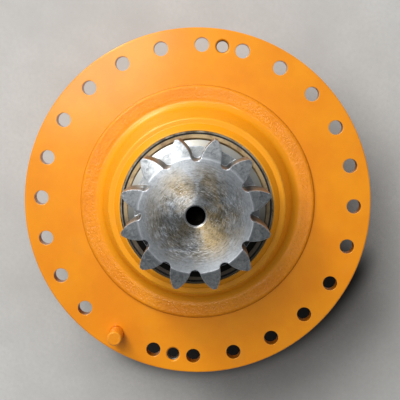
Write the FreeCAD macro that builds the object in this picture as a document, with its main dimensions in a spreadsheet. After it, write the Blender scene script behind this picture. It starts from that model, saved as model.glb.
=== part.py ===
"""Swing drive: two planetary stages in a flanged housing that carries an output pinion.

Frame: the origin is the centre of the bolt circle on the machined mounting face. +Z runs along the
output shaft, from the motor end to the pinion. -Y runs through the dowel pin. Millimetres.
"""
import FreeCAD, Part
import math
import os
import re

import Sketcher
from FreeCAD import Placement, Rotation, Vector

doc = FreeCAD.newDocument("swing_drive")

# Driving dimensions, in millimetres and degrees. Names that end in _top, _low or _level are heights.
SIZES = {
    # mounting flange, pad and nose of the housing
    "flange_radius": 266, "flange_thick": 25, "edge_round": 2,
    "bolt_circle": 240, "bolt_hole": 11, "bolt_step": 15, "hole_chamfer": 1, "dowel_stem": 10.5,
    "dowel_foot": 1.5,
    "jack_hole": 9.65, "jack_mouth": 1.75, "jack_angle": 22.5,
    "dowel_radius": 11, "dowel_rise": 42, "dowel_chamfer": 1.6,
    "pad_radius": 179.5, "pad_rise": 6, "pad_round": 5,
    "nose_foot": 146, "nose_foot_round": 13, "nose_corner": 130, "nose_top": 75, "nose_round": 2.5,
    "lip_foot": 121.5, "lip_radius": 113.2, "lip_top": 95, "mouth_radius": 111.4, "mouth_low": 79,
    # housing below the flange
    "barrel_radius": 168, "barrel_low": -150, "barrel_neck": 12,
    "cavity_radius": 118, "cavity_wide": 148, "cavity_low": -78, "cavity_neck": -20,
    "seat_wall": 14, "bell_radius": 138, "bell_top": -112, "bell_slope": 8, "seat_step": 6,
    "cavity_shoulder": 16, "cavity_slope": 14, "web_thick": 14, "lower_ledge": 82, "port_run": 10,
    "rib_count": 12, "rib_first": 15, "rib_reach": 214, "rib_thick": 12, "rib_low": -96, "rib_lip": 8,
    "rib_root": 6, "rib_sink": 4, "rib_toe": 2,
    # seal group in the nose
    "carrier_groove": 108.8, "carrier_step": 87, "carrier_top": 93, "carrier_floor": 3,
    "carrier_inset": 2, "seal_outer": 106.2, "seal_face": 100.4, "seal_top": 92, "seal_edge": 0.8,
    "seal_heel": 1, "lip_gap": 0.06, "lip_low": 83, "lip_high": 84.5, "lip_root": 86,
    "sleeve_radius": 98.5, "sleeve_gap": 0.5, "sleeve_lead": 3.2,
    # output pinion and shaft
    "pinion_teeth": 12, "pinion_module": 14, "pinion_shift": 0.45, "pinion_tip": 104.3,
    "pinion_root": 72.8, "pinion_low": 116, "pinion_top": 221, "pinion_angle": 16.1,
    "chamfer_start": 77.6, "chamfer_slope": 30, "tap_radius": 13.2, "tap_depth": 45, "tap_mouth": 2,
    "tap_point": 7, "thread_start": 3, "waist_slope": 2, "spline_bed": 4, "spline_play": 0.05,
    "spline_clear": 0.1, "snap_low": 1.5, "snap_high": 5, "snap_bed": 0.5, "snap_play": 0.2,
    "snap_clear": 0.1, "snap_stand": 4, "snap_mouth": 12,
    "shoulder_radius": 90, "shaft_waist": 66, "shaft_low": -152, "thread_radius": 59,
    "spline_tip": 50, "spline_root": 46.5, "spline_teeth": 32, "spline_module": 3, "spline_top": -117,
    # tapered roller bearings
    "upper_bore": 70, "upper_outer": 105, "upper_low": 30, "upper_width": 48, "upper_cup": 42,
    "upper_roller": 9.5, "upper_length": 32, "upper_count": 24,
    "lower_bore": 60, "lower_outer": 90, "lower_low": -60, "lower_width": 40, "lower_cup": 34,
    "lower_roller": 8, "lower_length": 26, "lower_count": 24,
    "roller_tilt": 13, "roller_gap": 0.04, "rib_width": 4.5, "rib_out": 3, "cup_shoulder": 9,
    "cone_low": 3, "race_offset": 0.5, "race_relief": 1.6, "pocket_play": 0.25, "pocket_end": 0.4,
    "cage_wall": 2.4, "cage_gap": 0.48, "cage_foot": 2.5, "cage_head": 2,
    "nut_radius": 78, "nut_low": -114, "nut_top": -102.5, "nut_slot": 10, "nut_slots": 4,
    "slot_deep": 6, "lock_radius": 76, "lock_bite": 4, "lock_bites": 16,
    # shared gear data
    "gear_tip": 1, "gear_root": 1.25, "pressure_angle": 20, "tooth_thin": 0.12,
    "ring_radius": 168, "tie_circle": 154.5, "tie_hole": 6.5, "tie_tap": 5.1, "tie_count": 12,
    "tie_first": 15, "tie_bolt": 6, "tie_head": 10.4, "tie_head_high": 7.5, "tie_depth": 28,
    "tie_runout": 4, "tie_washer": 2.5, "washer_outer": 11.4,
    # stage 2, which turns the output shaft
    "second_module": 5, "second_sun": 18, "second_planet": 18, "second_ring": 54,
    "second_count": 4, "second_width": 64, "second_ring_low": -222, "second_plate_low": -150,
    "second_pin": 22, "second_bush": 27, "second_plate": 132, "second_hub": 62, "second_end": 119,
    "second_end_low": -232, "second_end_thick": 13, "second_end_hole": 56, "second_column": 15,
    "second_column_in": 88, "second_lock": 4, "second_thick": 26, "second_sun_low": -215,
    "second_sun_top": -162, "second_neck": 26.5, "second_boss": 6, "second_nub": 16, "nub_high": 5,
    # stage 1, which the input shaft drives
    "first_module": 3, "first_sun": 18, "first_planet": 33, "first_ring": 84,
    "first_count": 3, "first_width": 37, "first_ring_low": -308, "first_plate_low": -252,
    "first_pin": 15, "first_bush": 19, "first_plate": 112, "first_hub": 42, "first_hub_top": -224,
    "first_end_low": -304, "first_end_thick": 10, "first_end_hole": 34, "first_column": 22,
    "first_column_in": 78, "first_lock": 2.5, "first_thick": 16, "first_end": 112,
    "washer_thick": 2, "washer_rim": 2, "washer_play": 0.5, "washer_bore": 0.1, "pin_play": 0.05,
    "pin_inset": 2, "column_inset": 2,
    "coupling_teeth": 20, "coupling_module": 2.8, "coupling_tip": 30, "coupling_root": 26.6,
    # input end
    "cover_low": -330, "boss_radius": 118, "boss_low": -360, "pilot_radius": 80, "pilot_deep": 12,
    "motor_circle": 100, "motor_hole": 6.9, "motor_depth": 24, "motor_count": 4,
    "input_bore": 32.5, "input_outer": 50, "input_top": -312, "input_width": 18, "input_through": 44,
    "input_ball": 5.5, "input_balls": 14, "input_neck": 23, "input_collar": 37, "input_low": -346,
    "boss_slope": 4, "cover_flare": 8, "collar_high": 6, "gear_overrun": 2, "race_shoulder": 3.2,
    "ball_play": 0.2, "pocket_reach": 6, "band_half": 1.6, "band_reach": 7, "clip_deep": 1.5,
    "clip_high": 2.2, "clip_play": 0.1, "clip_stand": 3.5, "clip_mouth": 8, "clip_reach": 6,
    "motor_spline_teeth": 14, "motor_spline_module": 2.5, "motor_spline_tip": 19,
    "motor_spline_root": 15.8, "motor_spline_deep": 42,
    # seals and plugs of the case
    "o_ring_circle": 144.6, "o_ring_thick": 1.48, "groove_half": 1.8, "groove_deep": 3,
    "plug_thread": 9, "plug_head": 14, "plug_high": 9, "plug_long": 14, "plug_washer": 1.5,
    "plug_socket": 5, "plug_web": 3, "plug_rim": 1.5, "drain_level": -58, "level_level": -127,
    "breather_circle": 140, "breather_radius": 7, "breather_head": 11, "breather_high": 20,
    "breather_nut": 8, "breather_cap": 9.5, "breather_stem": 14,
    # how far fused pieces run into each other, and how far a cutter runs past its piece
    "fuse_depth": 1, "cut_margin": 2,
}

sheet = doc.addObject("Spreadsheet::Sheet", "sizes")
for row, (alias, number) in enumerate(SIZES.items(), 1):
    sheet.set(f"A{row}", alias)
    sheet.set(f"B{row}", str(number))
    sheet.setAlias(f"B{row}", alias)
doc.recompute()

SUBPARTS = []
WORD = re.compile(r"\b[a-z]+(?:_[a-z]+)+\b")


# Rules over the sheet

def full(rule):
    """A rule with each size's name written as a reference to the sheet."""
    return WORD.sub(lambda word: "sizes." + word.group(), str(rule))


def value(rule):
    """The number that a rule gives now."""
    found = sheet.evalExpression(full(rule))
    return float(getattr(found, "Value", found))


def bind(thing, **rules):
    """Bind properties to rules over the sheet; two underscores stand for a dot."""
    for name, rule in rules.items():
        thing.setExpression(name.replace("__", "."), full(rule))
    return thing


def subpart(thing, label):
    """Name a finished piece, which is written to its own file."""
    thing.Label = label
    SUBPARTS.append(thing)
    return thing


# Turned and drilled bodies

def origin_plane(body, role):
    return next(plane for plane in body.Origin.OriginFeatures if plane.Role == role)


def sketch_on(body, name, role, level=None):
    """A sketch on one of a body's own planes, raised to a level where one is given."""
    sketch = body.newObject("Sketcher::SketchObject", name)
    sketch.AttachmentSupport = [(origin_plane(body, role), "")]
    sketch.MapMode = "FlatFace"
    if level is not None:
        sketch.AttachmentOffset = Placement(Vector(0, 0, value(level)), Rotation())
        bind(sketch, AttachmentOffset__Base__z=level)
    return sketch


def place_point(sketch, shape, point, rules):
    """Hold a point at rules for its two coordinates; a plain 0 puts it on the axis."""
    for rule, axis, kind in zip(rules, (-2, -1), ("DistanceX", "DistanceY")):
        if rule == 0:
            sketch.addConstraint(Sketcher.Constraint("PointOnObject", shape, point, axis))
        else:
            held = sketch.addConstraint(
                Sketcher.Constraint(kind, -1, 1, shape, point, value(rule)))
            sketch.setExpression(f"Constraints[{held}]", full(rule))


def polygon(sketch, corners):
    """A closed outline through corners given as pairs of rules."""
    points = [Vector(value(across), value(up), 0) for across, up in corners]
    count = len(points)
    for index, point in enumerate(points):
        sketch.addGeometry(Part.LineSegment(point, points[(index + 1) % count]), False)
    for index, rules in enumerate(corners):
        following = (index + 1) % count
        sketch.addConstraint(Sketcher.Constraint("Coincident", index, 2, following, 1))
        place_point(sketch, index, 1, rules)


def circle(sketch, radius, centre):
    """A circle with its radius and its centre bound to rules."""
    middle = Vector(value(centre[0]), value(centre[1]), 0)
    shape = sketch.addGeometry(Part.Circle(middle, Vector(0, 0, 1), value(radius)), False)
    held = sketch.addConstraint(Sketcher.Constraint("Radius", shape, value(radius)))
    sketch.setExpression(f"Constraints[{held}]", full(radius))
    place_point(sketch, shape, 3, centre)


def turned(name, corners):
    """A body turned about Z from corners given as radius and height."""
    body = doc.addObject("PartDesign::Body", name)
    outline = sketch_on(body, name + "_outline", "XZ_Plane")
    polygon(outline, corners)
    solid = body.newObject("PartDesign::Revolution", name + "_turned")
    solid.Profile = (outline, [""])
    solid.ReferenceAxis = (outline, ["V_Axis"])
    solid.Angle = 360
    doc.recompute()
    return body


def hoop(name, inner, outer, low, top):
    """A plain turned ring."""
    return turned(name, [(inner, low), (outer, low), (outer, top), (inner, top)])


def turned_groove(body, name, outline):
    """A groove turned about Z from an outline."""
    groove = body.newObject("PartDesign::Groove", name)
    groove.Profile = (outline, [""])
    groove.ReferenceAxis = (outline, ["V_Axis"])
    groove.Angle = 360
    body.Tip = groove
    doc.recompute()
    return groove


def pocket(body, name, role, level, radius, centre, depth, upward=False):
    """A round pocket cut from a level; it goes down unless it is made upward."""
    outline = sketch_on(body, name + "_outline", role, level)
    circle(outline, radius, centre)
    cut = body.newObject("PartDesign::Pocket", name)
    cut.Profile = outline
    cut.Reversed = upward
    bind(cut, Length=depth)
    doc.recompute()
    return cut


def polar(body, name, feature, count, angle=360):
    """Copies of a feature about Z."""
    pattern = body.newObject("PartDesign::PolarPattern", name)
    pattern.Originals = [feature]
    pattern.Axis = (origin_plane(body, "Z_Axis"), [""])
    pattern.Angle = angle
    bind(pattern, Occurrences=count)
    body.Tip = pattern
    doc.recompute()
    return pattern


def round_edges(feature, radius, level):
    """Names of the feature's circular edges that have this radius at this height."""
    names = []
    for index, edge in enumerate(feature.Shape.Edges, 1):
        curve = edge.Curve
        if not isinstance(curve, Part.Circle):
            continue
        middle = edge.BoundBox.Center
        if abs(curve.Radius - value(radius)) < 0.01 and abs(middle.z - value(level)) < 0.01:
            names.append(f"Edge{index}")
    return names


def dress(body, name, kind, edges, size):
    """A fillet or chamfer on the last feature's edges, each given by radius and height."""
    base = body.Tip
    found = [edge for radius, level in edges for edge in round_edges(base, radius, level)]
    feature = body.newObject("PartDesign::" + kind, name)
    feature.Base = (base, found)
    bind(feature, **{"Radius" if kind == "Fillet" else "Size": size})
    body.Tip = feature
    doc.recompute()
    return feature


# Plain solids and groups

def at(thing, distance=0, angle=0, level=0):
    """Stand a primitive at a distance from Z, at an angle, with its foot at a level."""
    turn = f"({angle}) * 1 deg"
    return bind(
        thing, Placement__Base__x=f"({distance}) * cos({turn})",
        Placement__Base__y=f"({distance}) * sin({turn})", Placement__Base__z=level)


def cylinder(name, radius, low, top, distance=0, angle=0):
    post = doc.addObject("Part::Cylinder", name)
    bind(post, Radius=radius, Height=f"({top}) - ({low})")
    return at(post, distance, angle, low)


def joined(name, pieces):
    fusion = doc.addObject("Part::MultiFuse", name)
    fusion.Shapes = pieces
    return fusion


def cut_away(name, base, tool):
    remainder = doc.addObject("Part::Cut", name)
    remainder.Base = base
    remainder.Tool = tool
    return remainder


def ring_of(name, master, count, first=0, steps=None):
    """A group of copies of a master, turned about Z in equal steps."""
    doc.recompute()
    copies = []
    for index in range(int(count)):
        copy = master.Shape.copy()
        copy.rotate(Vector(), Vector(0, 0, 1), first + index * (steps or 360 / count))
        copies.append(copy)
    group = doc.addObject("Part::Feature", name)
    group.Shape = Part.makeCompound(copies)
    return group


def on_circle(radius, angle):
    return Vector(radius * math.cos(angle), radius * math.sin(angle), 0)


def involute(angle):
    return math.tan(angle) - angle


def toothed_wire(teeth, module, tip, root, shift=0, thin=0, phase=0):
    """Outline of an involute gear, with each flank and each root space as one arc.

    A ring gear's hollow is the same outline, with its own root as the tip. thin narrows each flank.
    """
    press = math.radians(value("pressure_angle"))
    pitch_radius = teeth * module / 2
    base = pitch_radius * math.cos(press)
    start = max(base, root)
    half = math.pi / 2 / teeth + 2 * shift * math.tan(press) / teeth - thin / pitch_radius

    def half_angle(radius):
        return half + involute(press) - involute(math.acos(min(1, base / radius)))

    middle = (start + tip) / 2
    step = 2 * math.pi / teeth
    edges = []
    for tooth in range(teeth):
        here = phase + tooth * step
        low, mid, high = half_angle(start), half_angle(middle), half_angle(tip)
        rise = [on_circle(start, here - low), on_circle(middle, here - mid), on_circle(tip, here - high)]
        fall = [on_circle(tip, here + high), on_circle(middle, here + mid), on_circle(start, here + low)]
        next_foot = on_circle(start, here + step - low)
        edges.append(Part.Arc(*rise).toShape())
        edges.append(Part.Arc(rise[2], on_circle(tip, here), fall[0]).toShape())
        edges.append(Part.Arc(*fall).toShape())
        edges.append(Part.Arc(fall[2], on_circle(root, here + step / 2), next_foot).toShape())
    return Part.Wire(edges)


def round_wire(radius, centre=Vector()):
    return Part.Wire(Part.makeCircle(radius, centre))


def prism(name, wires, low, top):
    """An outline with holes, extruded between two levels."""
    outline = doc.addObject("Part::Feature", name + "_outline")
    outline.Shape = Part.makeFace(wires, "Part::FaceMakerBullseye")
    solid = doc.addObject("Part::Extrusion", name)
    solid.Base = outline
    solid.DirMode = "Custom"
    solid.Dir = Vector(0, 0, 1)
    solid.Solid = True
    bind(solid, LengthFwd=f"({top}) - ({low})", Placement__Base__z=low)
    return solid


def hexagon(radius, turn=0):
    corners = [on_circle(radius, turn + math.radians(60 * side)) for side in range(7)]
    return Part.makePolygon(corners)


TIE_CENTRE = ("tie_circle * cos(tie_first * 1 deg)", "tie_circle * sin(tie_first * 1 deg)")


# Housing: flange, pad and nose in one casting

def output_housing():
    body = turned("output_housing", [
        ("bell_radius", "barrel_low"), ("barrel_radius", "barrel_low"),
        ("barrel_radius", "-flange_thick - barrel_neck"),
        ("barrel_radius + barrel_neck", "-flange_thick"), ("flange_radius", "-flange_thick"),
        ("flange_radius", 0), ("pad_radius", 0), ("pad_radius", "pad_rise"),
        ("nose_foot", "pad_rise"), ("nose_corner", "nose_top"), ("lip_foot", "nose_top"),
        ("lip_radius", "lip_top"), ("mouth_radius", "lip_top"), ("mouth_radius", "mouth_low"),
        ("upper_outer", "mouth_low"), ("upper_outer", "upper_low"),
        ("upper_outer - cup_shoulder", "upper_low"),
        ("upper_outer - cup_shoulder", "upper_low - seat_step"),
        ("cavity_radius", "upper_low - cavity_shoulder"), ("cavity_radius", "cavity_neck"),
        ("cavity_wide", "cavity_neck - cavity_slope"), ("cavity_wide", "cavity_low"),
        ("lower_outer + seat_wall", "cavity_low - seat_step"),
        ("lower_outer + seat_wall", "lower_low + web_thick"),
        ("lower_ledge", "lower_low + web_thick"), ("lower_ledge", "lower_low"),
        ("lower_outer", "lower_low"), ("lower_outer", "bell_top + bell_slope"),
        ("bell_radius", "bell_top"),
    ])
    dress(body, "flange_edges", "Fillet",
          [("flange_radius", "0"), ("flange_radius", "-flange_thick")], "edge_round")
    dress(body, "pad_edge", "Fillet", [("pad_radius", "pad_rise")], "pad_round")
    dress(body, "nose_foot_fillet", "Fillet", [("nose_foot", "pad_rise")], "nose_foot_round")
    dress(body, "nose_corner_round", "Fillet", [("nose_corner", "nose_top")], "nose_round")

    # one place of the bolt ring holds the dowel, so the pattern has one hole fewer
    steps = round(360 / value("bolt_step"))
    first = "(bolt_step - 90) * 1 deg"
    hole = pocket(body, "bolt_hole_first", "XY_Plane", "0", "bolt_hole",
                  (f"bolt_circle * cos({first})", f"bolt_circle * sin({first})"), "flange_thick")
    polar(body, "bolt_holes", hole, steps - 1, 360 - 2 * value("bolt_step"))
    dress(body, "bolt_hole_chamfers", "Chamfer", [("bolt_hole", "-flange_thick")], "hole_chamfer")
    pocket(body, "dowel_hole", "XY_Plane", "0", "dowel_stem", (0, "-bolt_circle"), "flange_thick")
    dress(body, "dowel_hole_mouth", "Chamfer", [("dowel_stem", "0")], "hole_chamfer")
    jack = "(jack_angle - 90) * 1 deg"
    hole = pocket(body, "jack_hole_first", "XY_Plane", "0", "jack_hole",
                  (f"bolt_circle * cos({jack})", f"bolt_circle * sin({jack})"), "flange_thick")
    polar(body, "jack_holes", hole, 2)
    dress(body, "jack_hole_mouths", "Chamfer", [("jack_hole", "0")], "jack_mouth")

    # tapped holes for the through bolts, and the O-ring's groove beside them
    hole = pocket(body, "tie_hole_first", "XY_Plane", "barrel_low", "tie_tap", TIE_CENTRE,
                  "tie_depth", upward=True)
    polar(body, "tie_holes", hole, "tie_count")
    groove = sketch_on(body, "o_ring_groove_outline", "XZ_Plane")
    polygon(groove, [("o_ring_circle - groove_half", "barrel_low"),
                     ("o_ring_circle + groove_half", "barrel_low"),
                     ("o_ring_circle + groove_half", "barrel_low + groove_deep"),
                     ("o_ring_circle - groove_half", "barrel_low + groove_deep")])
    turned_groove(body, "o_ring_groove", groove)

    # cast ribs between the flange and the barrel
    outline = sketch_on(body, "rib_outline", "XZ_Plane")
    outline.AttachmentOffset = Placement(Vector(), Rotation(Vector(0, 1, 0), value("rib_first")))
    polygon(outline, [("barrel_radius - rib_root", "-flange_thick + rib_sink"),
                      ("rib_reach", "-flange_thick + rib_sink"),
                      ("rib_reach", "-flange_thick - rib_lip"),
                      ("barrel_radius + rib_toe", "rib_low"),
                      ("barrel_radius - rib_root", "rib_low")])
    rib = body.newObject("PartDesign::Pad", "rib_first")
    rib.Profile = outline
    rib.Midplane = True
    bind(rib, Length="rib_thick")
    doc.recompute()
    polar(body, "ribs", rib, "rib_count")

    # drain port through the barrel's wall
    port = pocket(body, "drain_port", "YZ_Plane", "cavity_wide - port_run", "plug_thread",
                  (0, "drain_level"), "barrel_radius - cavity_wide + 3 * port_run", upward=True)
    body.Tip = port

    # level port through the bell's wall, on the far side
    port = pocket(body, "level_port", "YZ_Plane", "-bell_radius + port_run", "plug_thread",
                  (0, "level_level"), "barrel_radius - bell_radius + 2 * port_run")
    body.Tip = port
    doc.recompute()
    return subpart(body, "output_housing")


def dowel_pin():
    """A pin with a thinner stem in the flange, and a relief at its foot so that its mate seats."""
    body = turned("dowel_pin", [
        (0, "-flange_thick"), ("dowel_stem", "-flange_thick"), ("dowel_stem", "dowel_foot"),
        ("dowel_radius", "dowel_foot"),
        ("dowel_radius", "dowel_rise - dowel_chamfer"),
        ("dowel_radius - dowel_chamfer", "dowel_rise"), (0, "dowel_rise")])
    bind(body, Placement__Base__y="-bolt_circle")
    return subpart(body, "dowel_pin")


# Seal group in the mouth of the nose

def seal_group():
    floor = "mouth_low + carrier_floor"
    subpart(turned("seal_carrier", [
        ("seal_face + carrier_inset", "mouth_low"), ("mouth_radius", "mouth_low"),
        ("mouth_radius", "carrier_top"), ("carrier_groove", "carrier_top"),
        ("carrier_groove", "carrier_step"), ("seal_outer", "carrier_step"),
        ("seal_outer", floor), ("seal_face + carrier_inset", floor)]), "seal_carrier")
    subpart(turned("oil_seal", [
        ("sleeve_radius + lip_gap", "lip_low"), ("seal_face + seal_heel", floor),
        ("seal_outer", floor), ("seal_outer", "seal_top"), ("seal_face + seal_edge", "seal_top"),
        ("seal_face", "seal_top - seal_edge"), ("seal_face", "lip_root"),
        ("sleeve_radius + lip_gap", "lip_high")]), "oil_seal")
    subpart(turned("wear_sleeve", [
        ("shoulder_radius", "upper_low + upper_width"), ("sleeve_radius", "upper_low + upper_width"),
        ("sleeve_radius", "pinion_low - sleeve_gap - sleeve_lead"),
        ("shoulder_radius", "pinion_low - sleeve_gap")]), "wear_sleeve")


# Output pinion and its shaft in one forging

def output_shaft():
    blank_edge = "pinion_tip + fuse_depth"
    rise = f"({blank_edge} - chamfer_start) * tan(chamfer_slope * 1 deg)"
    blank = turned("pinion_blank", [
        (0, "pinion_low"), (blank_edge, "pinion_low"), (blank_edge, f"pinion_top - {rise}"),
        ("chamfer_start", "pinion_top"), ("tap_radius + tap_mouth", "pinion_top"),
        ("tap_radius", "pinion_top - tap_mouth * tan(chamfer_slope * 1 deg)"),
        ("tap_radius", "pinion_top - tap_depth"),
        (0, "pinion_top - tap_depth - tap_point")])
    teeth = prism("pinion_gear", [toothed_wire(
        int(value("pinion_teeth")), value("pinion_module"), value("pinion_tip"), value("pinion_root"),
        shift=value("pinion_shift"), phase=math.radians(value("pinion_angle")))],
        "pinion_low", "pinion_top")
    pinion = doc.addObject("Part::Common", "pinion")
    pinion.Base = teeth
    pinion.Tool = blank
    core = turned("shaft_core", [
        (0, "shaft_low"), ("spline_root", "shaft_low"), ("spline_root", "spline_top"),
        ("thread_radius - thread_start", "spline_top"),
        ("thread_radius", "spline_top + thread_start"),
        ("thread_radius", "lower_low - lower_width"), ("lower_bore", "lower_low - lower_width"),
        ("lower_bore", "lower_low"), ("shaft_waist", "lower_low + waist_slope"),
        ("shaft_waist", "upper_low - waist_slope"), ("upper_bore", "upper_low + waist_slope"),
        ("upper_bore", "upper_low + upper_width"), ("shoulder_radius", "upper_low + upper_width"),
        ("shoulder_radius", "pinion_low"), (0, "pinion_low")])
    spline = prism("output_spline", [toothed_wire(
        int(value("spline_teeth")), value("spline_module"), value("spline_tip"), value("spline_root"),
        thin=value("spline_play")), round_wire(value("spline_root - spline_bed"))],
        "shaft_low", "spline_top")
    groove = hoop("snap_ring_groove", "spline_root + snap_bed", "spline_tip + cut_margin",
                  "second_plate_low + snap_low", "second_plate_low + snap_high")
    whole = joined("shaft_whole", [pinion, core, spline])
    subpart(cut_away("output_pinion_shaft", whole, groove), "output_pinion_shaft")

    ring = hoop("carrier_snap_ring_whole", "spline_root + snap_bed + snap_clear",
                "spline_tip + snap_stand", "second_plate_low + snap_low + snap_play",
                "second_plate_low + snap_high - snap_play")
    gap = doc.addObject("Part::Box", "snap_ring_gap")
    bind(gap, Length="spline_tip", Width="snap_mouth", Height="2 * snap_high",
         Placement__Base__x="spline_root - 2 * snap_high", Placement__Base__y="-snap_mouth / 2",
         Placement__Base__z="second_plate_low")
    subpart(cut_away("carrier_snap_ring", ring, gap), "carrier_snap_ring")


# Tapered roller bearings

def tapered_bearing(side, up, across):
    """One bearing; up is +1 where the rollers' thick ends point up and -1 where they point down."""
    def level(rule):
        return f"{side}_low + {up} * ({rule})"

    tilt = math.radians(value("roller_tilt"))
    middle_level = value(f"{side}_width / 2 + race_offset")
    reach = value(across) / math.sin(tilt)
    taper = math.degrees(math.atan(value(f"{side}_roller") / reach))
    back = f"(({across}) / tan(roller_tilt * 1 deg) - {side}_width / 2 - race_offset)"
    slope = f"atan({side}_roller * sin(roller_tilt * 1 deg) / ({across}))"

    def race(rule, sign):
        """Radius of a raceway at a height above the bearing's low face."""
        return (f"(({rule}) + {back}) * tan(roller_tilt * 1 deg {sign} {slope})"
                f" {sign} roller_gap")

    cup = [(f"{side}_outer", level("0")), (f"{side}_outer", level(f"{side}_cup")),
           (race(f"{side}_cup", "+"), level(f"{side}_cup")), (race("0", "+"), level("0"))]
    subpart(turned(f"{side}_bearing_cup", cup), f"{side}_bearing_cup")

    top, low = f"{side}_width", "cone_low"
    rib = f"{side}_width - rib_width"
    foot = "cone_low + rib_width"
    flat = race(foot, "-") + " + race_relief"
    shoulder = race(rib, "-") + " + rib_out"
    cone = [(f"{side}_bore", level(low)), (flat, level(low)), (flat, level(foot)),
            (race(foot, "-"), level(foot)), (race(rib, "-"), level(rib)), (shoulder, level(rib)),
            (shoulder, level(top)), (f"{side}_bore", level(top))]
    subpart(turned(f"{side}_bearing_cone", cone), f"{side}_bearing_cone")

    length = value(f"{side}_length")
    near, far = reach - length / 2, reach + length / 2
    spread = math.tan(math.radians(taper))
    apex = Vector(0, 0, value(level(middle_level)) - up * value(across) / math.tan(tilt))
    lean = Vector(math.sin(tilt), 0, up * math.cos(tilt))
    count = int(value(f"{side}_count"))

    def roller(name, extra, longer):
        solid = doc.addObject("Part::Feature", name)
        solid.Shape = Part.makeCone(
            (near - longer) * spread + extra, (far + longer) * spread + extra,
            far - near + 2 * longer, apex + lean * (near - longer), lean)
        return solid

    rollers = ring_of(f"{side}_rollers", roller(f"{side}_roller_first", 0, 0), count)
    subpart(rollers, f"{side}_bearing_rollers")
    pocket_first = roller(f"{side}_pocket_first", value("pocket_play"), value("pocket_end"))
    pockets = ring_of(f"{side}_pockets", pocket_first, count)

    def shell(rule, offset):
        return f"(({rule}) + {back}) * tan(roller_tilt * 1 deg) + {offset}"

    start = f"{side}_width / 2 - {side}_length / 2 - cage_foot"
    end = f"{side}_width / 2 + {side}_length / 2 + cage_head"
    band = turned(f"{side}_cage_band", [
        (shell(start, "cage_gap"), level(start)),
        (shell(start, "cage_gap + cage_wall"), level(start)),
        (shell(end, "cage_gap + cage_wall"), level(end)), (shell(end, "cage_gap"), level(end))])
    subpart(cut_away(f"{side}_bearing_cage", band, pockets), f"{side}_bearing_cage")


def bearing_nut():
    ring = hoop("nut_ring", "thread_radius", "nut_radius", "nut_low", "nut_top")
    slot = doc.addObject("Part::Box", "nut_slot_first")
    bind(slot, Length="2 * slot_deep", Width="nut_slot", Height="nut_top - nut_low + 2 * cut_margin",
         Placement__Base__x="nut_radius - slot_deep", Placement__Base__y="-nut_slot / 2",
         Placement__Base__z="nut_low - cut_margin")
    slots = ring_of("nut_slot_ring", slot, int(value("nut_slots")))
    subpart(cut_away("bearing_nut", ring, slots), "bearing_nut")
    washer = hoop("lock_washer_ring", "thread_radius", "lock_radius", "nut_top",
                  "lower_low - lower_width")
    bite = cylinder("lock_bite_first", "lock_bite", "nut_low", "lower_low", "lock_radius")
    notches = ring_of("lock_bite_ring", bite, int(value("lock_bites")))
    subpart(cut_away("bearing_lock_washer", washer, notches), "bearing_lock_washer")


# Ring gears, held between housing and cover by the through bolts

def tie_places(radius):
    count = int(value("tie_count"))
    first = math.radians(value("tie_first"))
    return [round_wire(radius, on_circle(value("tie_circle"), first + 2 * math.pi * place / count))
            for place in range(count)]


def ring_gear(stage, low, top, name):
    teeth = int(value(f"{stage}_ring"))
    planets = value(f"{stage}_planet")
    module = value(f"{stage}_module")
    pitch_radius = teeth * module / 2
    hollow = toothed_wire(
        teeth, module, pitch_radius + value("gear_root") * module,
        pitch_radius - value("gear_tip") * module, thin=-value("tooth_thin"),
        phase=math.pi * (planets - 1) / teeth)
    outer = round_wire(value("ring_radius"))
    return prism(name, [outer, hollow, *tie_places(value("tie_hole"))], low, top)


def ring_gears():
    subpart(ring_gear("second", "second_ring_low", "barrel_low", "ring_gear_stage_two"),
            "ring_gear_stage_2")
    first = ring_gear("first", "first_ring_low", "second_ring_low", "ring_gear_first_blank")
    groove = hoop("first_groove", "o_ring_circle - groove_half", "o_ring_circle + groove_half",
                  "second_ring_low - groove_deep", "second_ring_low + fuse_depth")
    subpart(cut_away("ring_gear_stage_one", first, groove), "ring_gear_stage_1")


# Planetary stages

def stage_gears(stage, label_number):
    """Planets with bushes, pins and thrust washers of one stage, in mesh at rest."""
    module = value(f"{stage}_module")
    sun, planet = int(value(f"{stage}_sun")), int(value(f"{stage}_planet"))
    count = int(value(f"{stage}_count"))
    spacing = f"{stage}_module * ({stage}_sun + {stage}_planet) / 2"
    top = f"{stage}_plate_low - washer_thick - washer_play"
    low = f"{top} - {stage}_width"
    pitch_radius = planet * module / 2
    for index in range(count):
        angle = 360 * index / count
        lean = math.radians(angle)
        phase = lean * (1 + sun / planet) + math.pi - math.pi / planet
        letter = "abcd"[index]
        gear = prism(f"{stage}_planet_{letter}", [
            toothed_wire(planet, module, pitch_radius + value("gear_tip") * module,
                         pitch_radius - value("gear_root") * module,
                         thin=value("tooth_thin"), phase=phase),
            round_wire(value(f"{stage}_bush"))], low, top)
        at(gear, spacing, angle, low)
        subpart(gear, f"planet_gear_{label_number}_{letter}")
        bush = hoop(f"{stage}_bush_{letter}", f"{stage}_pin + pin_play", f"{stage}_bush", low, top)
        at(bush, spacing, angle)
        subpart(bush, f"planet_bush_{label_number}_{letter}")


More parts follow.
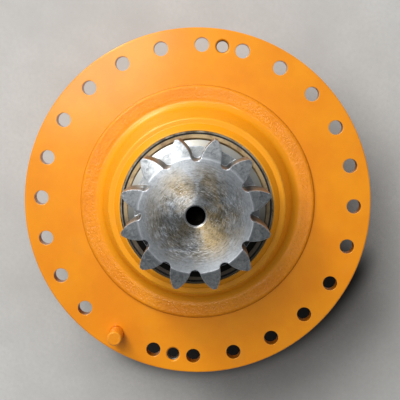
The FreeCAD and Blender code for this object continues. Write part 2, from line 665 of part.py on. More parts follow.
def planet_pins(stage, label_number, pin_low, pin_top, lock_level):
    """Pins, their radial locks and the thrust washers, each kind as a group."""
    count = int(value(f"{stage}_count"))
    spacing = f"{stage}_module * ({stage}_sun + {stage}_planet) / 2"
    lock = cylinder(f"{stage}_lock_first", f"{stage}_lock", "0", f"{stage}_plate")
    lock.Placement = Placement(Vector(), Rotation(Vector(0, 1, 0), 90))
    bind(lock, Height=f"{stage}_plate - fuse_depth - ({spacing}) - cut_margin",
         Placement__Base__x=f"{spacing} + cut_margin", Placement__Base__y="0",
         Placement__Base__z=lock_level)
    locks = ring_of(f"{stage}_locks", lock, count)
    subpart(locks, f"planet_pin_locks_{label_number}")
    post = cylinder(f"{stage}_pin_first", f"{stage}_pin", pin_low, pin_top, spacing)
    posts = ring_of(f"{stage}_posts", post, count)
    subpart(cut_away(f"{stage}_pins", posts, locks), f"planet_pins_{label_number}")

    upper, lower = f"{stage}_plate_low", f"{stage}_end_low + {stage}_end_thick"
    washers = []
    for name, low in (("upper", f"{upper} - washer_thick"), ("lower", lower)):
        washer = hoop(f"{stage}_washer_{name}", f"{stage}_pin + washer_bore",
                      f"{stage}_bush + washer_rim", low, f"{low} + washer_thick")
        washers.append(at(washer, spacing))
    pair = doc.addObject("Part::Compound", f"{stage}_washer_pair")
    pair.Links = washers
    subpart(ring_of(f"{stage}_washers", pair, count), f"thrust_washers_{label_number}")
    return post, lock


def carrier(stage, label_number, upper, tool, post, lock):
    """Two plates and the columns between them, bored for pins and locks, with a splined hub."""
    count = int(value(f"{stage}_count"))
    end_top = f"{stage}_end_low + {stage}_end_thick"
    lower = hoop(f"{stage}_end_plate", f"{stage}_end_hole", f"{stage}_end", f"{stage}_end_low", end_top)
    column = doc.addObject("Part::Box", f"{stage}_column_first")
    bind(column, Length=f"{stage}_end - column_inset - {stage}_column_in",
         Width=f"2 * {stage}_column", Height=f"{stage}_plate_low - {stage}_end_low",
         Placement__Base__x=f"{stage}_column_in", Placement__Base__y=f"-{stage}_column",
         Placement__Base__z=f"{stage}_end_low + fuse_depth")
    columns = ring_of(f"{stage}_columns", column, count, 180 / count)
    whole = joined(f"{stage}_carrier_whole", [upper, lower, columns])
    bores = doc.addObject("Part::Compound", f"{stage}_bores")
    bores.Links = [tool, ring_of(f"{stage}_pin_bores", post, count),
                   ring_of(f"{stage}_lock_bores", lock, count)]
    subpart(cut_away(f"{stage}_carrier", whole, bores), f"carrier_stage_{label_number}")


def second_stage():
    stage_gears("second", 2)
    top = "second_plate_low + second_thick"
    post, lock = planet_pins("second", 2, "second_end_low + pin_inset", f"{top} - pin_inset",
                             "second_plate_low + second_thick / 2")
    upper = turned("second_upper_plate", [
        (0, "second_plate_low + second_boss"), ("second_hub", "second_plate_low + second_boss"),
        ("second_hub", "second_plate_low"), ("second_plate", "second_plate_low"),
        ("second_plate", top), ("second_hub", top), ("second_hub", f"{top} + second_boss"),
        (0, f"{top} + second_boss")])
    spline = prism("second_hub_spline", [toothed_wire(
        int(value("spline_teeth")), value("spline_module"), value("spline_tip + spline_clear"),
        value("spline_root + spline_clear"), thin=-value("spline_play"))],
        "second_plate_low - fuse_depth", f"{top} + second_boss + cut_margin")
    carrier("second", 2, upper, spline, post, lock)


def spline_wire(extra, thin):
    return toothed_wire(int(value("coupling_teeth")), value("coupling_module"),
                        value("coupling_tip") + extra, value("coupling_root") + extra, thin=thin)


def first_stage():
    stage_gears("first", 1)
    top = "first_plate_low + first_thick"
    post, lock = planet_pins("first", 1, "first_end_low + pin_inset", f"{top} - pin_inset",
                             "first_plate_low + first_thick / 2")
    upper = turned("first_upper_plate", [
        (0, "first_plate_low"), ("first_plate", "first_plate_low"), ("first_plate", top),
        ("first_hub", top), ("first_hub", "first_hub_top"), (0, "first_hub_top")])
    play = value("spline_play")
    spline = prism("first_hub_spline", [spline_wire(value("spline_clear"), -play)],
                   "first_plate_low - fuse_depth", "first_hub_top + fuse_depth")
    carrier("first", 1, upper, spline, post, lock)

    # the sun of stage 2 stands in the splined hub of this stage's carrier
    module, teeth = value("second_module"), int(value("second_sun"))
    pitch_radius = teeth * module / 2
    sun = prism("second_sun_teeth", [toothed_wire(
        teeth, module, pitch_radius + value("gear_tip") * module,
        pitch_radius - value("gear_root") * module, thin=value("tooth_thin"))],
        "second_sun_low", "second_sun_top")
    male_low = "first_plate_low + fuse_depth"
    neck = cylinder("second_sun_neck", "second_neck", male_low, "second_sun_low + fuse_depth")
    nub = cylinder("second_sun_nub", "second_nub", "second_sun_top - fuse_depth",
                   "second_sun_top + nub_high")
    male = prism("second_sun_spline", [spline_wire(0, play)], male_low, "first_hub_top")
    subpart(joined("sun_gear_two", [sun, neck, nub, male]), "sun_gear_stage_2")


# Input shaft, its bearing and the cover that takes the motor

def input_group():
    module, teeth = value("first_module"), int(value("first_sun"))
    pitch_radius = teeth * module / 2
    top = "first_plate_low - washer_thick"
    gear_low = "first_end_low + first_end_thick - gear_overrun"
    sun = prism("first_sun_teeth", [toothed_wire(
        teeth, module, pitch_radius + value("gear_tip") * module,
        pitch_radius - value("gear_root") * module, thin=value("tooth_thin"))], gear_low, top)
    core = turned("input_core", [
        (0, "input_low"), ("input_bore", "input_low"), ("input_bore", "input_top"),
        ("input_collar", "input_top"), ("input_collar", "input_top + collar_high"),
        ("input_neck", "input_top + collar_high"), ("input_neck", f"{gear_low} + fuse_depth"),
        (0, f"{gear_low} + fuse_depth")])
    socket = prism("motor_spline_socket", [toothed_wire(
        int(value("motor_spline_teeth")), value("motor_spline_module"), value("motor_spline_tip"),
        value("motor_spline_root"))], "input_low - fuse_depth", "input_low + motor_spline_deep")
    low = "input_top - input_width"
    groove = hoop("input_ring_groove", "input_bore - clip_deep", "input_bore + fuse_depth",
                  f"{low} - clip_high", f"{low} - clip_play")
    tools = doc.addObject("Part::Compound", "input_tools")
    tools.Links = [socket, groove]
    subpart(cut_away("input_shaft", joined("input_whole", [sun, core]), tools), "input_sun_shaft")

    ring = hoop("input_ring_whole", "input_bore - clip_deep + clip_play",
                "input_bore + clip_stand", f"{low} - clip_high + clip_play",
                f"{low} - 2 * clip_play")
    gap = doc.addObject("Part::Box", "input_ring_gap")
    bind(gap, Length="2 * clip_reach", Width="clip_mouth", Height="clip_reach",
         Placement__Base__x="input_bore - clip_reach", Placement__Base__y="-clip_mouth / 2",
         Placement__Base__z=f"{low} - clip_high - cut_margin")
    subpart(cut_away("input_snap_ring", ring, gap), "input_snap_ring")

    middle = "input_top - input_width / 2"
    track = "(input_bore + input_outer) / 2"
    for label, inner, outer in (
            ("input_bearing_outer", f"{track} + race_shoulder", "input_outer"),
            ("input_bearing_inner", "input_bore", f"{track} - race_shoulder")):
        ring = hoop(label, inner, outer, low, "input_top")
        raceway = sketch_on(ring, label + "_raceway", "XZ_Plane")
        circle(raceway, "input_ball + pin_play", (track, middle))
        turned_groove(ring, label + "_groove", raceway)
        subpart(ring, label)
    ball = doc.addObject("Part::Sphere", "input_ball_first")
    at(bind(ball, Radius="input_ball"), track, 0, middle)
    count = int(value("input_balls"))
    subpart(ring_of("input_ball_set", ball, count), "input_bearing_balls")
    window = doc.addObject("Part::Cylinder", "input_pocket_first")
    window.Placement = Placement(Vector(), Rotation(Vector(0, 1, 0), 90))
    bind(window, Radius="input_ball + ball_play", Height="2 * pocket_reach",
         Placement__Base__x=f"{track} - pocket_reach", Placement__Base__z=middle)
    band = hoop("input_cage_band", f"{track} - band_half", f"{track} + band_half",
                f"{middle} - band_reach", f"{middle} + band_reach")
    pockets = ring_of("input_pockets", window, count)
    subpart(cut_away("input_cage", band, pockets), "input_bearing_cage")


def motor_cover():
    top = "first_ring_low"
    body = turned("motor_cover_body", [
        ("pilot_radius", "boss_low"), ("boss_radius", "boss_low"),
        ("boss_radius", "cover_low - boss_slope"), ("boss_radius + boss_slope", "cover_low"),
        ("ring_radius", "cover_low"), ("ring_radius", top), ("input_outer + cover_flare", top),
        ("input_outer", f"{top} - boss_slope"),
        ("input_outer", "input_top - input_width"), ("input_through", "input_top - input_width"),
        ("input_through", "boss_low + pilot_deep"), ("pilot_radius", "boss_low + pilot_deep")])
    groove = sketch_on(body, "cover_groove_outline", "XZ_Plane")
    polygon(groove, [("o_ring_circle - groove_half", f"{top} - groove_deep"),
                     ("o_ring_circle + groove_half", f"{top} - groove_deep"),
                     ("o_ring_circle + groove_half", top), ("o_ring_circle - groove_half", top)])
    turned_groove(body, "cover_groove", groove)
    hole = pocket(body, "cover_tie_first", "XY_Plane", "cover_low", "tie_hole", TIE_CENTRE,
                  f"{top} - cover_low", upward=True)
    polar(body, "cover_tie_holes", hole, "tie_count")
    diagonal = "motor_circle * cos(45 deg)"
    hole = pocket(body, "motor_hole_first", "XY_Plane", "boss_low", "motor_hole",
                  (diagonal, diagonal), "motor_depth", upward=True)
    polar(body, "motor_holes", hole, "motor_count")
    port = pocket(body, "breather_port", "XY_Plane", "cover_low", "breather_radius",
                  ("breather_circle", 0), f"{top} - cover_low", upward=True)
    body.Tip = port
    doc.recompute()
    return subpart(body, "motor_cover")


# Fasteners, seals and plugs of the case

def case_fasteners():
    count = int(value("tie_count"))
    head_top = "cover_low - tie_washer"
    head_low = f"{head_top} - tie_head_high"
    head = prism("tie_head_first", [hexagon(value("tie_head"))], head_low, head_top)
    at(head, "tie_circle", 0, head_low)
    shank = cylinder("tie_shank_first", "tie_bolt", f"{head_top} - fuse_depth", "barrel_low",
                     "tie_circle")
    thread = cylinder("tie_thread_first", "tie_tap", "barrel_low - fuse_depth",
                      "barrel_low + tie_depth - tie_runout", "tie_circle")
    bolt = joined("tie_bolt_first", [head, shank, thread])
    subpart(ring_of("tie_bolts", bolt, count, value("tie_first")), "through_bolts")
    washer = hoop("tie_washer_first", "tie_hole", "washer_outer", head_top, "cover_low")
    at(washer, "tie_circle")
    subpart(ring_of("tie_washers", washer, count, value("tie_first")), "through_bolt_washers")
    joints = {"housing_o_ring": "barrel_low + groove_deep / 2",
              "ring_gear_o_ring": "second_ring_low - groove_deep / 2",
              "cover_o_ring": "first_ring_low - groove_deep / 2"}
    for label, level in joints.items():
        ring = doc.addObject("Part::Torus", label + "_torus")
        bind(ring, Radius1="o_ring_circle", Radius2="o_ring_thick", Placement__Base__z=level)
        subpart(ring, label)


def radial(thing, turn, level):
    """Turn a piece built along Z so that it points outward at an angle, and raise it."""
    doc.recompute()
    shape = thing.Shape.copy()
    shape.rotate(Vector(), Vector(0, 1, 0), 90)
    shape.rotate(Vector(), Vector(0, 0, 1), turn)
    shape.translate(Vector(0, 0, value(level)))
    return shape


def socket_plug(name, face):
    """A screw plug with a hex socket, built along Z with its washer's foot at the face."""
    seat = f"{face} + plug_washer"
    stem = cylinder(name + "_stem", "plug_thread", f"{face} - plug_long", f"{seat} + fuse_depth")
    head = cylinder(name + "_head", "plug_head", seat, f"{seat} + plug_high")
    socket = prism(name + "_socket", [hexagon(value("plug_socket"))], f"{seat} + plug_web",
                   f"{seat} + plug_high + fuse_depth")
    plug = cut_away(name + "_whole", joined(name + "_body", [stem, head]), socket)
    washer = hoop(name + "_washer", "plug_thread", "plug_head + plug_rim", face, seat)
    return plug, washer


def case_plugs():
    washers = []
    for label, face, level, turn in (
            ("drain_plug", "barrel_radius", "drain_level", 0),
            ("level_plug", "barrel_radius", "level_level", 180)):
        plug, washer = socket_plug(label, face)
        piece = doc.addObject("Part::Feature", label + "_turned")
        piece.Shape = radial(plug, turn, level)
        subpart(piece, label)
        washers.append(radial(washer, turn, level))
    group = doc.addObject("Part::Feature", "plug_washer_set")
    group.Shape = Part.makeCompound(washers)
    subpart(group, "plug_washers")
    stem = cylinder("breather_screw", "breather_radius", "cover_low - fuse_depth",
                    "cover_low + breather_stem")
    nut = prism("breather_hexagon", [hexagon(value("breather_head"))], "cover_low - breather_nut",
                "cover_low")
    cap = cylinder("breather_hood", "breather_cap", "cover_low - breather_high",
                   "cover_low - breather_nut + fuse_depth")
    whole = joined("breather_whole", [stem, nut, cap])
    subpart(at(whole, "breather_circle"), "breather")


output_housing()
dowel_pin()
seal_group()
output_shaft()
tapered_bearing("upper", 1, "(upper_bore + upper_outer) / 2")
tapered_bearing("lower", -1, "(lower_bore + lower_outer) / 2")
bearing_nut()
ring_gears()
second_stage()
first_stage()
input_group()
motor_cover()
case_fasteners()
case_plugs()
doc.recompute()

# Check everything, then write each piece
for thing in doc.Objects:
    if {"Invalid", "Error"} & set(thing.State):
        raise SystemExit(f"{thing.Name} failed: {thing.State}")
for thing in SUBPARTS:
    if thing.Shape.isNull() or not thing.Shape.isValid():
        raise SystemExit(f"{thing.Label} has no valid shape")

os.makedirs("parts", exist_ok=True)
for thing in SUBPARTS:
    thing.Shape.exportStep(f"parts/{thing.Label}.step")
print(len(SUBPARTS), "pieces written")
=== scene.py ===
# %% [markdown]
# # A swing drive, seen down its output pinion
# A swing drive turns the upper works of an excavator. Its cast housing bolts to the swing frame by
# a wide flange, and its pinion walks round the slewing ring. This script dresses the measured parts
# in the finishes of the real ones, and adds the small forms that a casting or a lathe leaves.
# The parts come in as a fixed frame in metres, so nothing is moved: each finish is a material on a
# part, and each added piece rides on the body that carries it.

# %% Load the parts
import math

import bmesh
import bpy
from mathutils import Matrix, Vector


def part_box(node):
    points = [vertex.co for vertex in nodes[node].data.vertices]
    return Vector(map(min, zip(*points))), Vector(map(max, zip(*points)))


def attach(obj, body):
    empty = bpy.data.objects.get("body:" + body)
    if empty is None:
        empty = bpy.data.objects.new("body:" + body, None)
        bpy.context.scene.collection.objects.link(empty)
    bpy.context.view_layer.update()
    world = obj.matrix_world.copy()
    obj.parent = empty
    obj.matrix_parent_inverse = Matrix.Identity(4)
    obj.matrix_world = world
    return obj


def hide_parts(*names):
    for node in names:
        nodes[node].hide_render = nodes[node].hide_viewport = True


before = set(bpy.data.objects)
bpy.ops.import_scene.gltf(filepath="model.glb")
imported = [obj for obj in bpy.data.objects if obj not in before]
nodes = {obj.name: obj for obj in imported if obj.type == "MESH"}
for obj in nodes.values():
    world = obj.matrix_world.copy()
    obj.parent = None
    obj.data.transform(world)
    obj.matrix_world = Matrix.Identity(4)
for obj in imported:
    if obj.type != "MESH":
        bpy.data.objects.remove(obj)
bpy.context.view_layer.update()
MM = 0.001

# %% [markdown]
# ## The sizes that the finishes need
# Most are read back from the parts, so that a change in the model carries through. The rest are the
# radii where one finish ends and the next begins, on a face that both share.

# %% Measure the parts
nose_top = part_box("output_housing")[1].z
stand_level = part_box("motor_cover")[0].z
cover_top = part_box("motor_cover")[1].z
case_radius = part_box("motor_cover")[1].x
pinion_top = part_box("output_pinion_shaft")[1].z
pad_radius = 179.5 * MM
nose_foot = 146 * MM
machined_nose = 73.5 * MM
end_chamfer = 77.6 * MM
shoulder_top = 116 * MM
flange_back = -25 * MM
hole_ring = 240 * MM
pilot_radius = 80 * MM
lifting_thread = 13.2 * MM
print("nose", round(nose_top / MM), "pinion", round(pinion_top / MM),
      "stand", round(stand_level / MM))

# %% [markdown]
# ## Camera
# The photograph looks almost straight down the shaft, from 1.66 m. The camera stands at a place,
# looks at a point on the flange, and leans about its own axis, so that these three steps stay
# readable. The lens comes from how much nearer the pinion's face looks than the flange.

# %% Place the camera
CAMERA_PLACE = Vector((-58.1, 129.9, 1655.5)) * MM
CAMERA_AIM = Vector((1.6, 4.65, 0)) * MM
CAMERA_LEAN = math.radians(31.605)
FOCAL_PIXELS = 1082
FRAME_PIXELS = 400


def aimed(place, target, lean):
    """A matrix that stands at place and looks at target, with +Y up and then leaned to the left."""
    back = (place - target).normalized()
    right = Vector((-math.sin(lean), math.cos(lean), 0)).cross(back).normalized()
    turn = Matrix((right, back.cross(right), back)).transposed().to_4x4()
    return Matrix.Translation(place) @ turn


camera_data = bpy.data.cameras.new("camera")
camera_data.sensor_width = 36
camera_data.lens = camera_data.sensor_width * FOCAL_PIXELS / FRAME_PIXELS
camera = bpy.data.objects.new("camera", camera_data)
camera.matrix_world = aimed(CAMERA_PLACE, CAMERA_AIM, CAMERA_LEAN)
bpy.context.scene.collection.objects.link(camera)
bpy.context.scene.camera = camera
bpy.context.scene.view_settings.view_transform = "Standard"
image_right = camera.matrix_world.to_3x3() @ Vector((1, 0, 0))
image_up = camera.matrix_world.to_3x3() @ Vector((0, 1, 0))
print("lens", round(camera_data.lens, 1), "image up", [round(part, 3) for part in image_up])

# %% [markdown]
# ## Colour and nodes
# Colours are written the way a paint chart gives them, as sRGB hex, and one function turns them to
# the linear values that a renderer adds up. One more function adds a node: a name in small letters
# is the node's own setting, and a name with a capital is one of its sockets.

# %% One function for colour and one for nodes
def colour(text):
    """Linear RGBA of an sRGB hex value."""
    parts = [int(text[place:place + 2], 16) / 255 for place in (1, 3, 5)]
    return (*[part / 12.92 if part < 0.0405 else ((part + 0.055) / 1.055) ** 2.4
              for part in parts], 1)


def add(tree, kind, take=0, **parts):
    """Add a shader node and return one of its outputs. A socket is named by its identifier, with
    _ for a space, and takes a number, a colour or another node's output."""
    node = tree.nodes.new("ShaderNode" + kind)
    for name in sorted(parts, key=str.swapcase):
        if name[0].islower():
            setattr(node, name, parts[name])
            continue
        socket = next(one for one in node.inputs if one.identifier.replace(" ", "_") == name)
        if isinstance(parts[name], bpy.types.NodeSocket):
            tree.links.new(parts[name], socket)
        else:
            socket.default_value = parts[name]
    return node.outputs[take]


print("a fresh orange in linear values", [round(part, 3) for part in colour("#E88602")[:3]])

# %% [markdown]
# ## Reading a place on a part
# A finish on a real part changes from place to place: paint wears thin on an edge. Some materials
# are also painted darker on the side towards the bottom of the view, away from the lamps, as
# painted shade. So each material begins with the point being shaded, in the part's own metres, and
# these helpers turn it into a radius, a height, a direction or a mask.

# %% Helpers that read a place
def start(name, **shader):
    """A material's tree, its shader, and the point being shaded in the part's own metres."""
    finish = bpy.data.materials.new(name)
    finish.use_nodes = True
    tree = finish.node_tree
    surface = tree.nodes["Principled BSDF"]
    for socket, setting in shader.items():
        surface.inputs[socket.replace("_", " ")].default_value = setting
    return finish, tree, surface, add(tree, "TexCoord", 3)


def join(tree, surface, **sockets):
    """Link outputs to the shader."""
    for socket, source in sockets.items():
        tree.links.new(source, surface.inputs[socket.replace("_", " ")])


def radius_and_height(tree, place):
    """How far the point is from the shaft's axis, and how high above the mounting face."""
    split = add(tree, "SeparateXYZ", Vector=place).node
    flat = add(tree, "CombineXYZ", X=split.outputs[0], Y=split.outputs[1])
    return add(tree, "VectorMath", 1, operation="LENGTH", Vector=flat), split.outputs[2]


def spoke(tree, place):
    """The direction from the shaft's axis to the point, level with the flange."""
    split = add(tree, "SeparateXYZ", Vector=place).node
    flat = add(tree, "CombineXYZ", X=split.outputs[0], Y=split.outputs[1])
    return add(tree, "VectorMath", operation="NORMALIZE", Vector=flat)


def low_side_shade(tree, place):
    """1 towards the bottom of the view, away from the lamps, 0 on the other side: for painted
    shade.
    """
    lean = add(tree, "VectorMath", 1, operation="DOT_PRODUCT", Vector=spoke(tree, place),
               Vector_001=-image_up)
    return add(tree, "MapRange", Value=lean, From_Min=-0.15, From_Max=0.45)


def worn_edge(tree, size):
    """The normal of an edge rounded to this size, and a mask that is 1 along such edges."""
    rounded = add(tree, "Bevel", samples=6, Radius=size)
    flat = add(tree, "NewGeometry", 1)
    agree = add(tree, "VectorMath", 1, operation="DOT_PRODUCT", Vector=rounded, Vector_001=flat)
    return rounded, add(tree, "MapRange", Value=agree, From_Min=0.995, From_Max=0.95)


# The low side, towards which the materials paint shade:
print("grease ran towards", [round(-part, 2) for part in image_up])

# %% [markdown]
# ## Orange enamel on cast iron
# The housing is poured in sand, machined where it has to fit, and then sprayed with gloss enamel.
# On the machined flange the coat lies flat, with only the faint orange peel of the spray gun. On
# the cast skin the sand's grain shows through as a rough skin with a few pits. One material holds
# both, and a mask from the radius and the height says which skin a point lies on, so the border
# runs exactly along the step that the lathe left.
#
# The nose is painted in a lighter, yellower enamel, which is painted light. Edges draw the wet coat
# thin and pale, and the walls of the holes keep some of their dark primer, which also stands in for
# their shade as painted shade. The resin has a warm sheen, which a yellow tint on the mirrored
# light gives, and a thin clear coat adds the sharp glints.

# %% Enamel colours and scales
ENAMEL = colour("#E88602")
ENAMEL_LIGHT = colour("#F09206")
ENAMEL_DEEP = colour("#CA6E02")
# A lighter, yellower enamel for the nose, which is painted light:
ENAMEL_NOSE_LIT = colour("#F29C0C")
ENAMEL_THIN = colour("#F4B450")
SHEEN = colour("#FFE08A")
PIT = colour("#7A4408")
DUST = colour("#C08A48")
# Primer in the holes, which also serves as their painted shade:
PRIMER_AND_SHADE = colour("#6E4214")
BARE_IRON = colour("#8B8984")
IRON_STAIN = colour("#6B5F4C")
SAND_GRAIN = 3.6 * MM
PAINT_PEEL = 2.0 * MM
PIT_SPACING = 21 * MM
EDGE_ROUND = 1.4 * MM
print("sand grain", SAND_GRAIN / MM, "mm, drawn a little coarse so that it shows")


# %% Which skin a point lies on
def cast_skin_of_housing(tree, place):
    """1 on the sand-cast skin, 0 on the machined flange and the machined end of the nose."""
    radius, height = radius_and_height(tree, place)
    beyond_pad = add(tree, "MapRange", Value=radius, From_Min=pad_radius - 1 * MM,
                     From_Max=pad_radius + 0.4 * MM)
    on_face = add(tree, "MapRange", Value=height, From_Min=flange_back - 1 * MM,
                  From_Max=flange_back + 0.1 * MM)
    flange = add(tree, "Math", operation="MULTIPLY", Value=beyond_pad, Value_001=on_face)
    nose = add(tree, "MapRange", Value=height, From_Min=machined_nose - 1.5 * MM,
               From_Max=machined_nose)
    in_nose = add(tree, "MapRange", Value=radius, From_Min=nose_foot + 14 * MM,
                  From_Max=nose_foot + 8 * MM, To_Max=0.7)
    above = add(tree, "MapRange", Value=height, From_Min=0.0, From_Max=6 * MM)
    wall = add(tree, "Math", operation="MULTIPLY", Value=in_nose, Value_001=above)
    smooth = add(tree, "Math", operation="MAXIMUM", Value=flange, Value_001=nose)
    smooth = add(tree, "Math", operation="MAXIMUM", Value=smooth, Value_001=wall)
    return add(tree, "Math", operation="SUBTRACT", Value=1.0, Value_001=smooth)


def cast_skin_of_case(tree, place):
    """The ring gears and the cover are turned outside, so their skin is half as rough."""
    radius = radius_and_height(tree, place)[0]
    return add(tree, "MapRange", Value=radius, From_Min=90 * MM, From_Max=160 * MM, To_Min=0.15,
               To_Max=0.45)


def hole_walls(tree, place):
    """1 on the flange's hole walls, which the spray hardly reaches; their primer is partly painted
    shade.
    """
    radius, height = radius_and_height(tree, place)
    facing = add(tree, "SeparateXYZ", 2, Vector=add(tree, "NewGeometry", 3))
    facing = add(tree, "Math", operation="ABSOLUTE", Value=facing)
    wall = add(tree, "MapRange", Value=facing, From_Min=0.5, From_Max=0.2, To_Max=0.55)
    ring = add(tree, "Math", operation="COMPARE", Value=radius, Value_001=hole_ring,
               Value_002=12 * MM)
    deep = add(tree, "MapRange", Value=height, From_Min=-1.5 * MM, From_Max=-4 * MM)
    inside = add(tree, "Math", operation="GREATER_THAN", Value=height,
                 Value_001=flange_back + 0.2 * MM)
    wall = add(tree, "Math", operation="MULTIPLY", Value=wall, Value_001=ring)
    wall = add(tree, "Math", operation="MULTIPLY", Value=wall, Value_001=deep)
    return add(tree, "Math", operation="MULTIPLY", Value=wall, Value_001=inside)


# %% The enamel itself
def orange_enamel(name, skin, bare_below=None):
    """Gloss enamel over a skin; the motor's seat stays bare where bare_below is its level."""
    finish, tree, surface, place = start(name, IOR=1.5, Specular_IOR_Level=0.75,
                                         Specular_Tint=SHEEN, Coat_Weight=0.4,
                                         Coat_Roughness=0.12)
    cast = skin(tree, place)
    sand = add(tree, "TexNoise", Vector=place, Scale=1 / SAND_GRAIN, Detail=5.0, Roughness=0.65)
    lumps = add(tree, "TexNoise", Vector=place, Scale=1 / (22 * MM), Detail=2.0)
    peel = add(tree, "TexNoise", Vector=place, Scale=1 / PAINT_PEEL, Detail=1.0)
    cell = add(tree, "TexVoronoi", Vector=place, Scale=1 / PIT_SPACING).node
    chance = add(tree, "SeparateColor", Color=cell.outputs[1])
    picked = add(tree, "Math", operation="GREATER_THAN", Value=chance, Value_001=0.84)
    pits = add(tree, "MapRange", Value=cell.outputs[0], From_Min=0.085, From_Max=0.05)
    pits = add(tree, "Math", operation="MULTIPLY", Value=pits, Value_001=picked)
    pits = add(tree, "Math", operation="MULTIPLY", Value=pits, Value_001=cast)
    rough = add(tree, "Math", operation="MULTIPLY_ADD", Value=lumps, Value_001=0.8, Value_002=sand)
    rough = add(tree, "Math", operation="SUBTRACT", Value=rough, Value_001=pits)
    rough = add(tree, "Math", operation="MULTIPLY", Value=rough, Value_001=cast)
    relief = add(tree, "Math", operation="MULTIPLY_ADD", Value=peel, Value_001=0.05,
                 Value_002=rough)
    rounded, edge = worn_edge(tree, EDGE_ROUND)
    relief = add(tree, "Bump", Height=relief, Distance=1.2 * MM, Normal=rounded)
    join(tree, surface, Normal=relief, Coat_Normal=relief)

    drift = add(tree, "TexNoise", Vector=place, Scale=1 / (90 * MM), Detail=4.0, Roughness=0.6)
    drift = add(tree, "MapRange", Value=drift, From_Min=0.38, From_Max=0.62)
    tint = add(tree, "Mix", 2, data_type="RGBA", Factor_Float=drift, A_Color=ENAMEL,
               B_Color=ENAMEL_LIGHT)
    radius, height = radius_and_height(tree, place)
    # Painted light: the nose takes the lighter, yellower enamel.
    nose_lit = add(tree, "MapRange", Value=radius, From_Min=nose_foot + 20 * MM,
                From_Max=nose_foot - 4 * MM)
    above = add(tree, "MapRange", Value=height, From_Min=0.0, From_Max=6 * MM)
    nose_lit = add(tree, "Math", operation="MULTIPLY", Value=nose_lit, Value_001=above)
    tint = add(tree, "Mix", 2, data_type="RGBA", Factor_Float=nose_lit, A_Color=tint,
               B_Color=ENAMEL_NOSE_LIT)
    hollow = add(tree, "MapRange", Value=sand, From_Min=0.52, From_Max=0.34, To_Max=0.35)
    hollow = add(tree, "Math", operation="MULTIPLY", Value=hollow, Value_001=cast)
    tint = add(tree, "Mix", 2, data_type="RGBA", Factor_Float=hollow, A_Color=tint,
               B_Color=ENAMEL_DEEP)
    tint = add(tree, "Mix", 2, data_type="RGBA", Factor_Float=pits, A_Color=tint, B_Color=PIT)
    # Partly painted shade: the hole walls take the dark primer colour.
    tint = add(tree, "Mix", 2, data_type="RGBA", Factor_Float=hole_walls(tree, place),
               A_Color=tint, B_Color=PRIMER_AND_SHADE)
    fade = add(tree, "MapRange", Value=sand, From_Min=0.36, From_Max=0.60, To_Max=0.7)
    thin = add(tree, "Math", operation="MULTIPLY", Value=edge, Value_001=fade)
    tint = add(tree, "Mix", 2, data_type="RGBA", Factor_Float=thin, A_Color=tint,
               B_Color=ENAMEL_THIN)
    smudge = add(tree, "TexNoise", Vector=place, Scale=1 / (48 * MM), Detail=7.0, Roughness=0.7)
    smudge = add(tree, "MapRange", Value=smudge, From_Min=0.56, From_Max=0.76)
    soiled = add(tree, "Math", operation="MULTIPLY", Value=smudge, Value_001=0.18)
    tint = add(tree, "Mix", 2, data_type="RGBA", Factor_Float=soiled, A_Color=tint, B_Color=DUST)
    gloss = add(tree, "Math", operation="MULTIPLY_ADD", Value=cast, Value_001=0.12, Value_002=0.32)
    gloss = add(tree, "Math", operation="MULTIPLY_ADD", Value=smudge, Value_001=0.10,
                Value_002=gloss)
    if bare_below is not None:
        seat = add(tree, "MapRange", Value=height, From_Min=bare_below + 1.5 * MM,
                   From_Max=bare_below + 1 * MM)
        bore = add(tree, "MapRange", Value=radius, From_Min=pilot_radius + 1 * MM,
                   From_Max=pilot_radius + 0.5 * MM)
        bare = add(tree, "Math", operation="MAXIMUM", Value=seat, Value_001=bore)
        iron = add(tree, "Mix", 2, data_type="RGBA", Factor_Float=smudge, A_Color=BARE_IRON,
                   B_Color=IRON_STAIN)
        tint = add(tree, "Mix", 2, data_type="RGBA", Factor_Float=bare, A_Color=tint, B_Color=iron)
        join(tree, surface, Metallic=bare)
    join(tree, surface, Base_Color=tint, Roughness=gloss)
    return finish


housing_enamel = orange_enamel("orange_enamel_on_housing", cast_skin_of_housing)
case_enamel = orange_enamel("orange_enamel_on_case", cast_skin_of_case, stand_level)
print("enamel over cast skin and machined skin")

# %% [markdown]
# ## Pinion steel
# The pinion is a forging of case-hardening steel. Its end face is turned, which leaves fine rings
# that spread a highlight into soft fans. Preserving oil dried on it to a tan stain, and two
# opposite fans are painted paler than the rest, a painted highlight. A bright ring where the end
# chamfer starts is a painted highlight too, and the tapped hole is painted near black as painted
# shade. The flanks keep a film of oil, and the shoulder at their foot is painted dark on its low
# side, away from the lamps, which is painted shade. All of that is one part, so one material reads
# from radius, height and direction where it is.

# %% Steel and oil colours
BARE_STEEL = colour("#A9ADB1")
DARK_STEEL = colour("#787C7E")
BRIGHT_STEEL = colour("#E3E6EA")
CHAMFER_STEEL = colour("#C4C6C6")
CHAMFER_DARK = colour("#777B7E")
OIL_TAN = colour("#9C8862")
OIL_DARK = colour("#39362D")
# Painted shade colour for the tapped hole:
HOLE_SHADE = colour("#12110F")
# Painted shade colour for the low side:
PAINTED_SHADE = colour("#242320")
DRY_OIL = colour("#7C6A50")
TURNING_PITCH = 1.6 * MM
SCRATCH_LENGTH = 13 * MM
# Direction of the painted highlight fans on the face:
HIGHLIGHT_FAN_TURN = math.radians(134)


print("scratches about", round(SCRATCH_LENGTH / MM), "mm long")


# %% Fans and scratches on the turned face
def painted_highlight_fans(tree, place):
    """1 in the two opposite fans that are painted paler as a painted highlight, 0 in the two
    between.
    """
    fan_axis = image_right * math.cos(HIGHLIGHT_FAN_TURN) + image_up * math.sin(HIGHLIGHT_FAN_TURN)
    lean = add(tree, "VectorMath", 1, operation="DOT_PRODUCT", Vector=spoke(tree, place),
               Vector_001=fan_axis)
    lean = add(tree, "Math", operation="MULTIPLY", Value=lean, Value_001=lean)
    return add(tree, "MapRange", Value=lean, From_Min=0.45, From_Max=0.95)


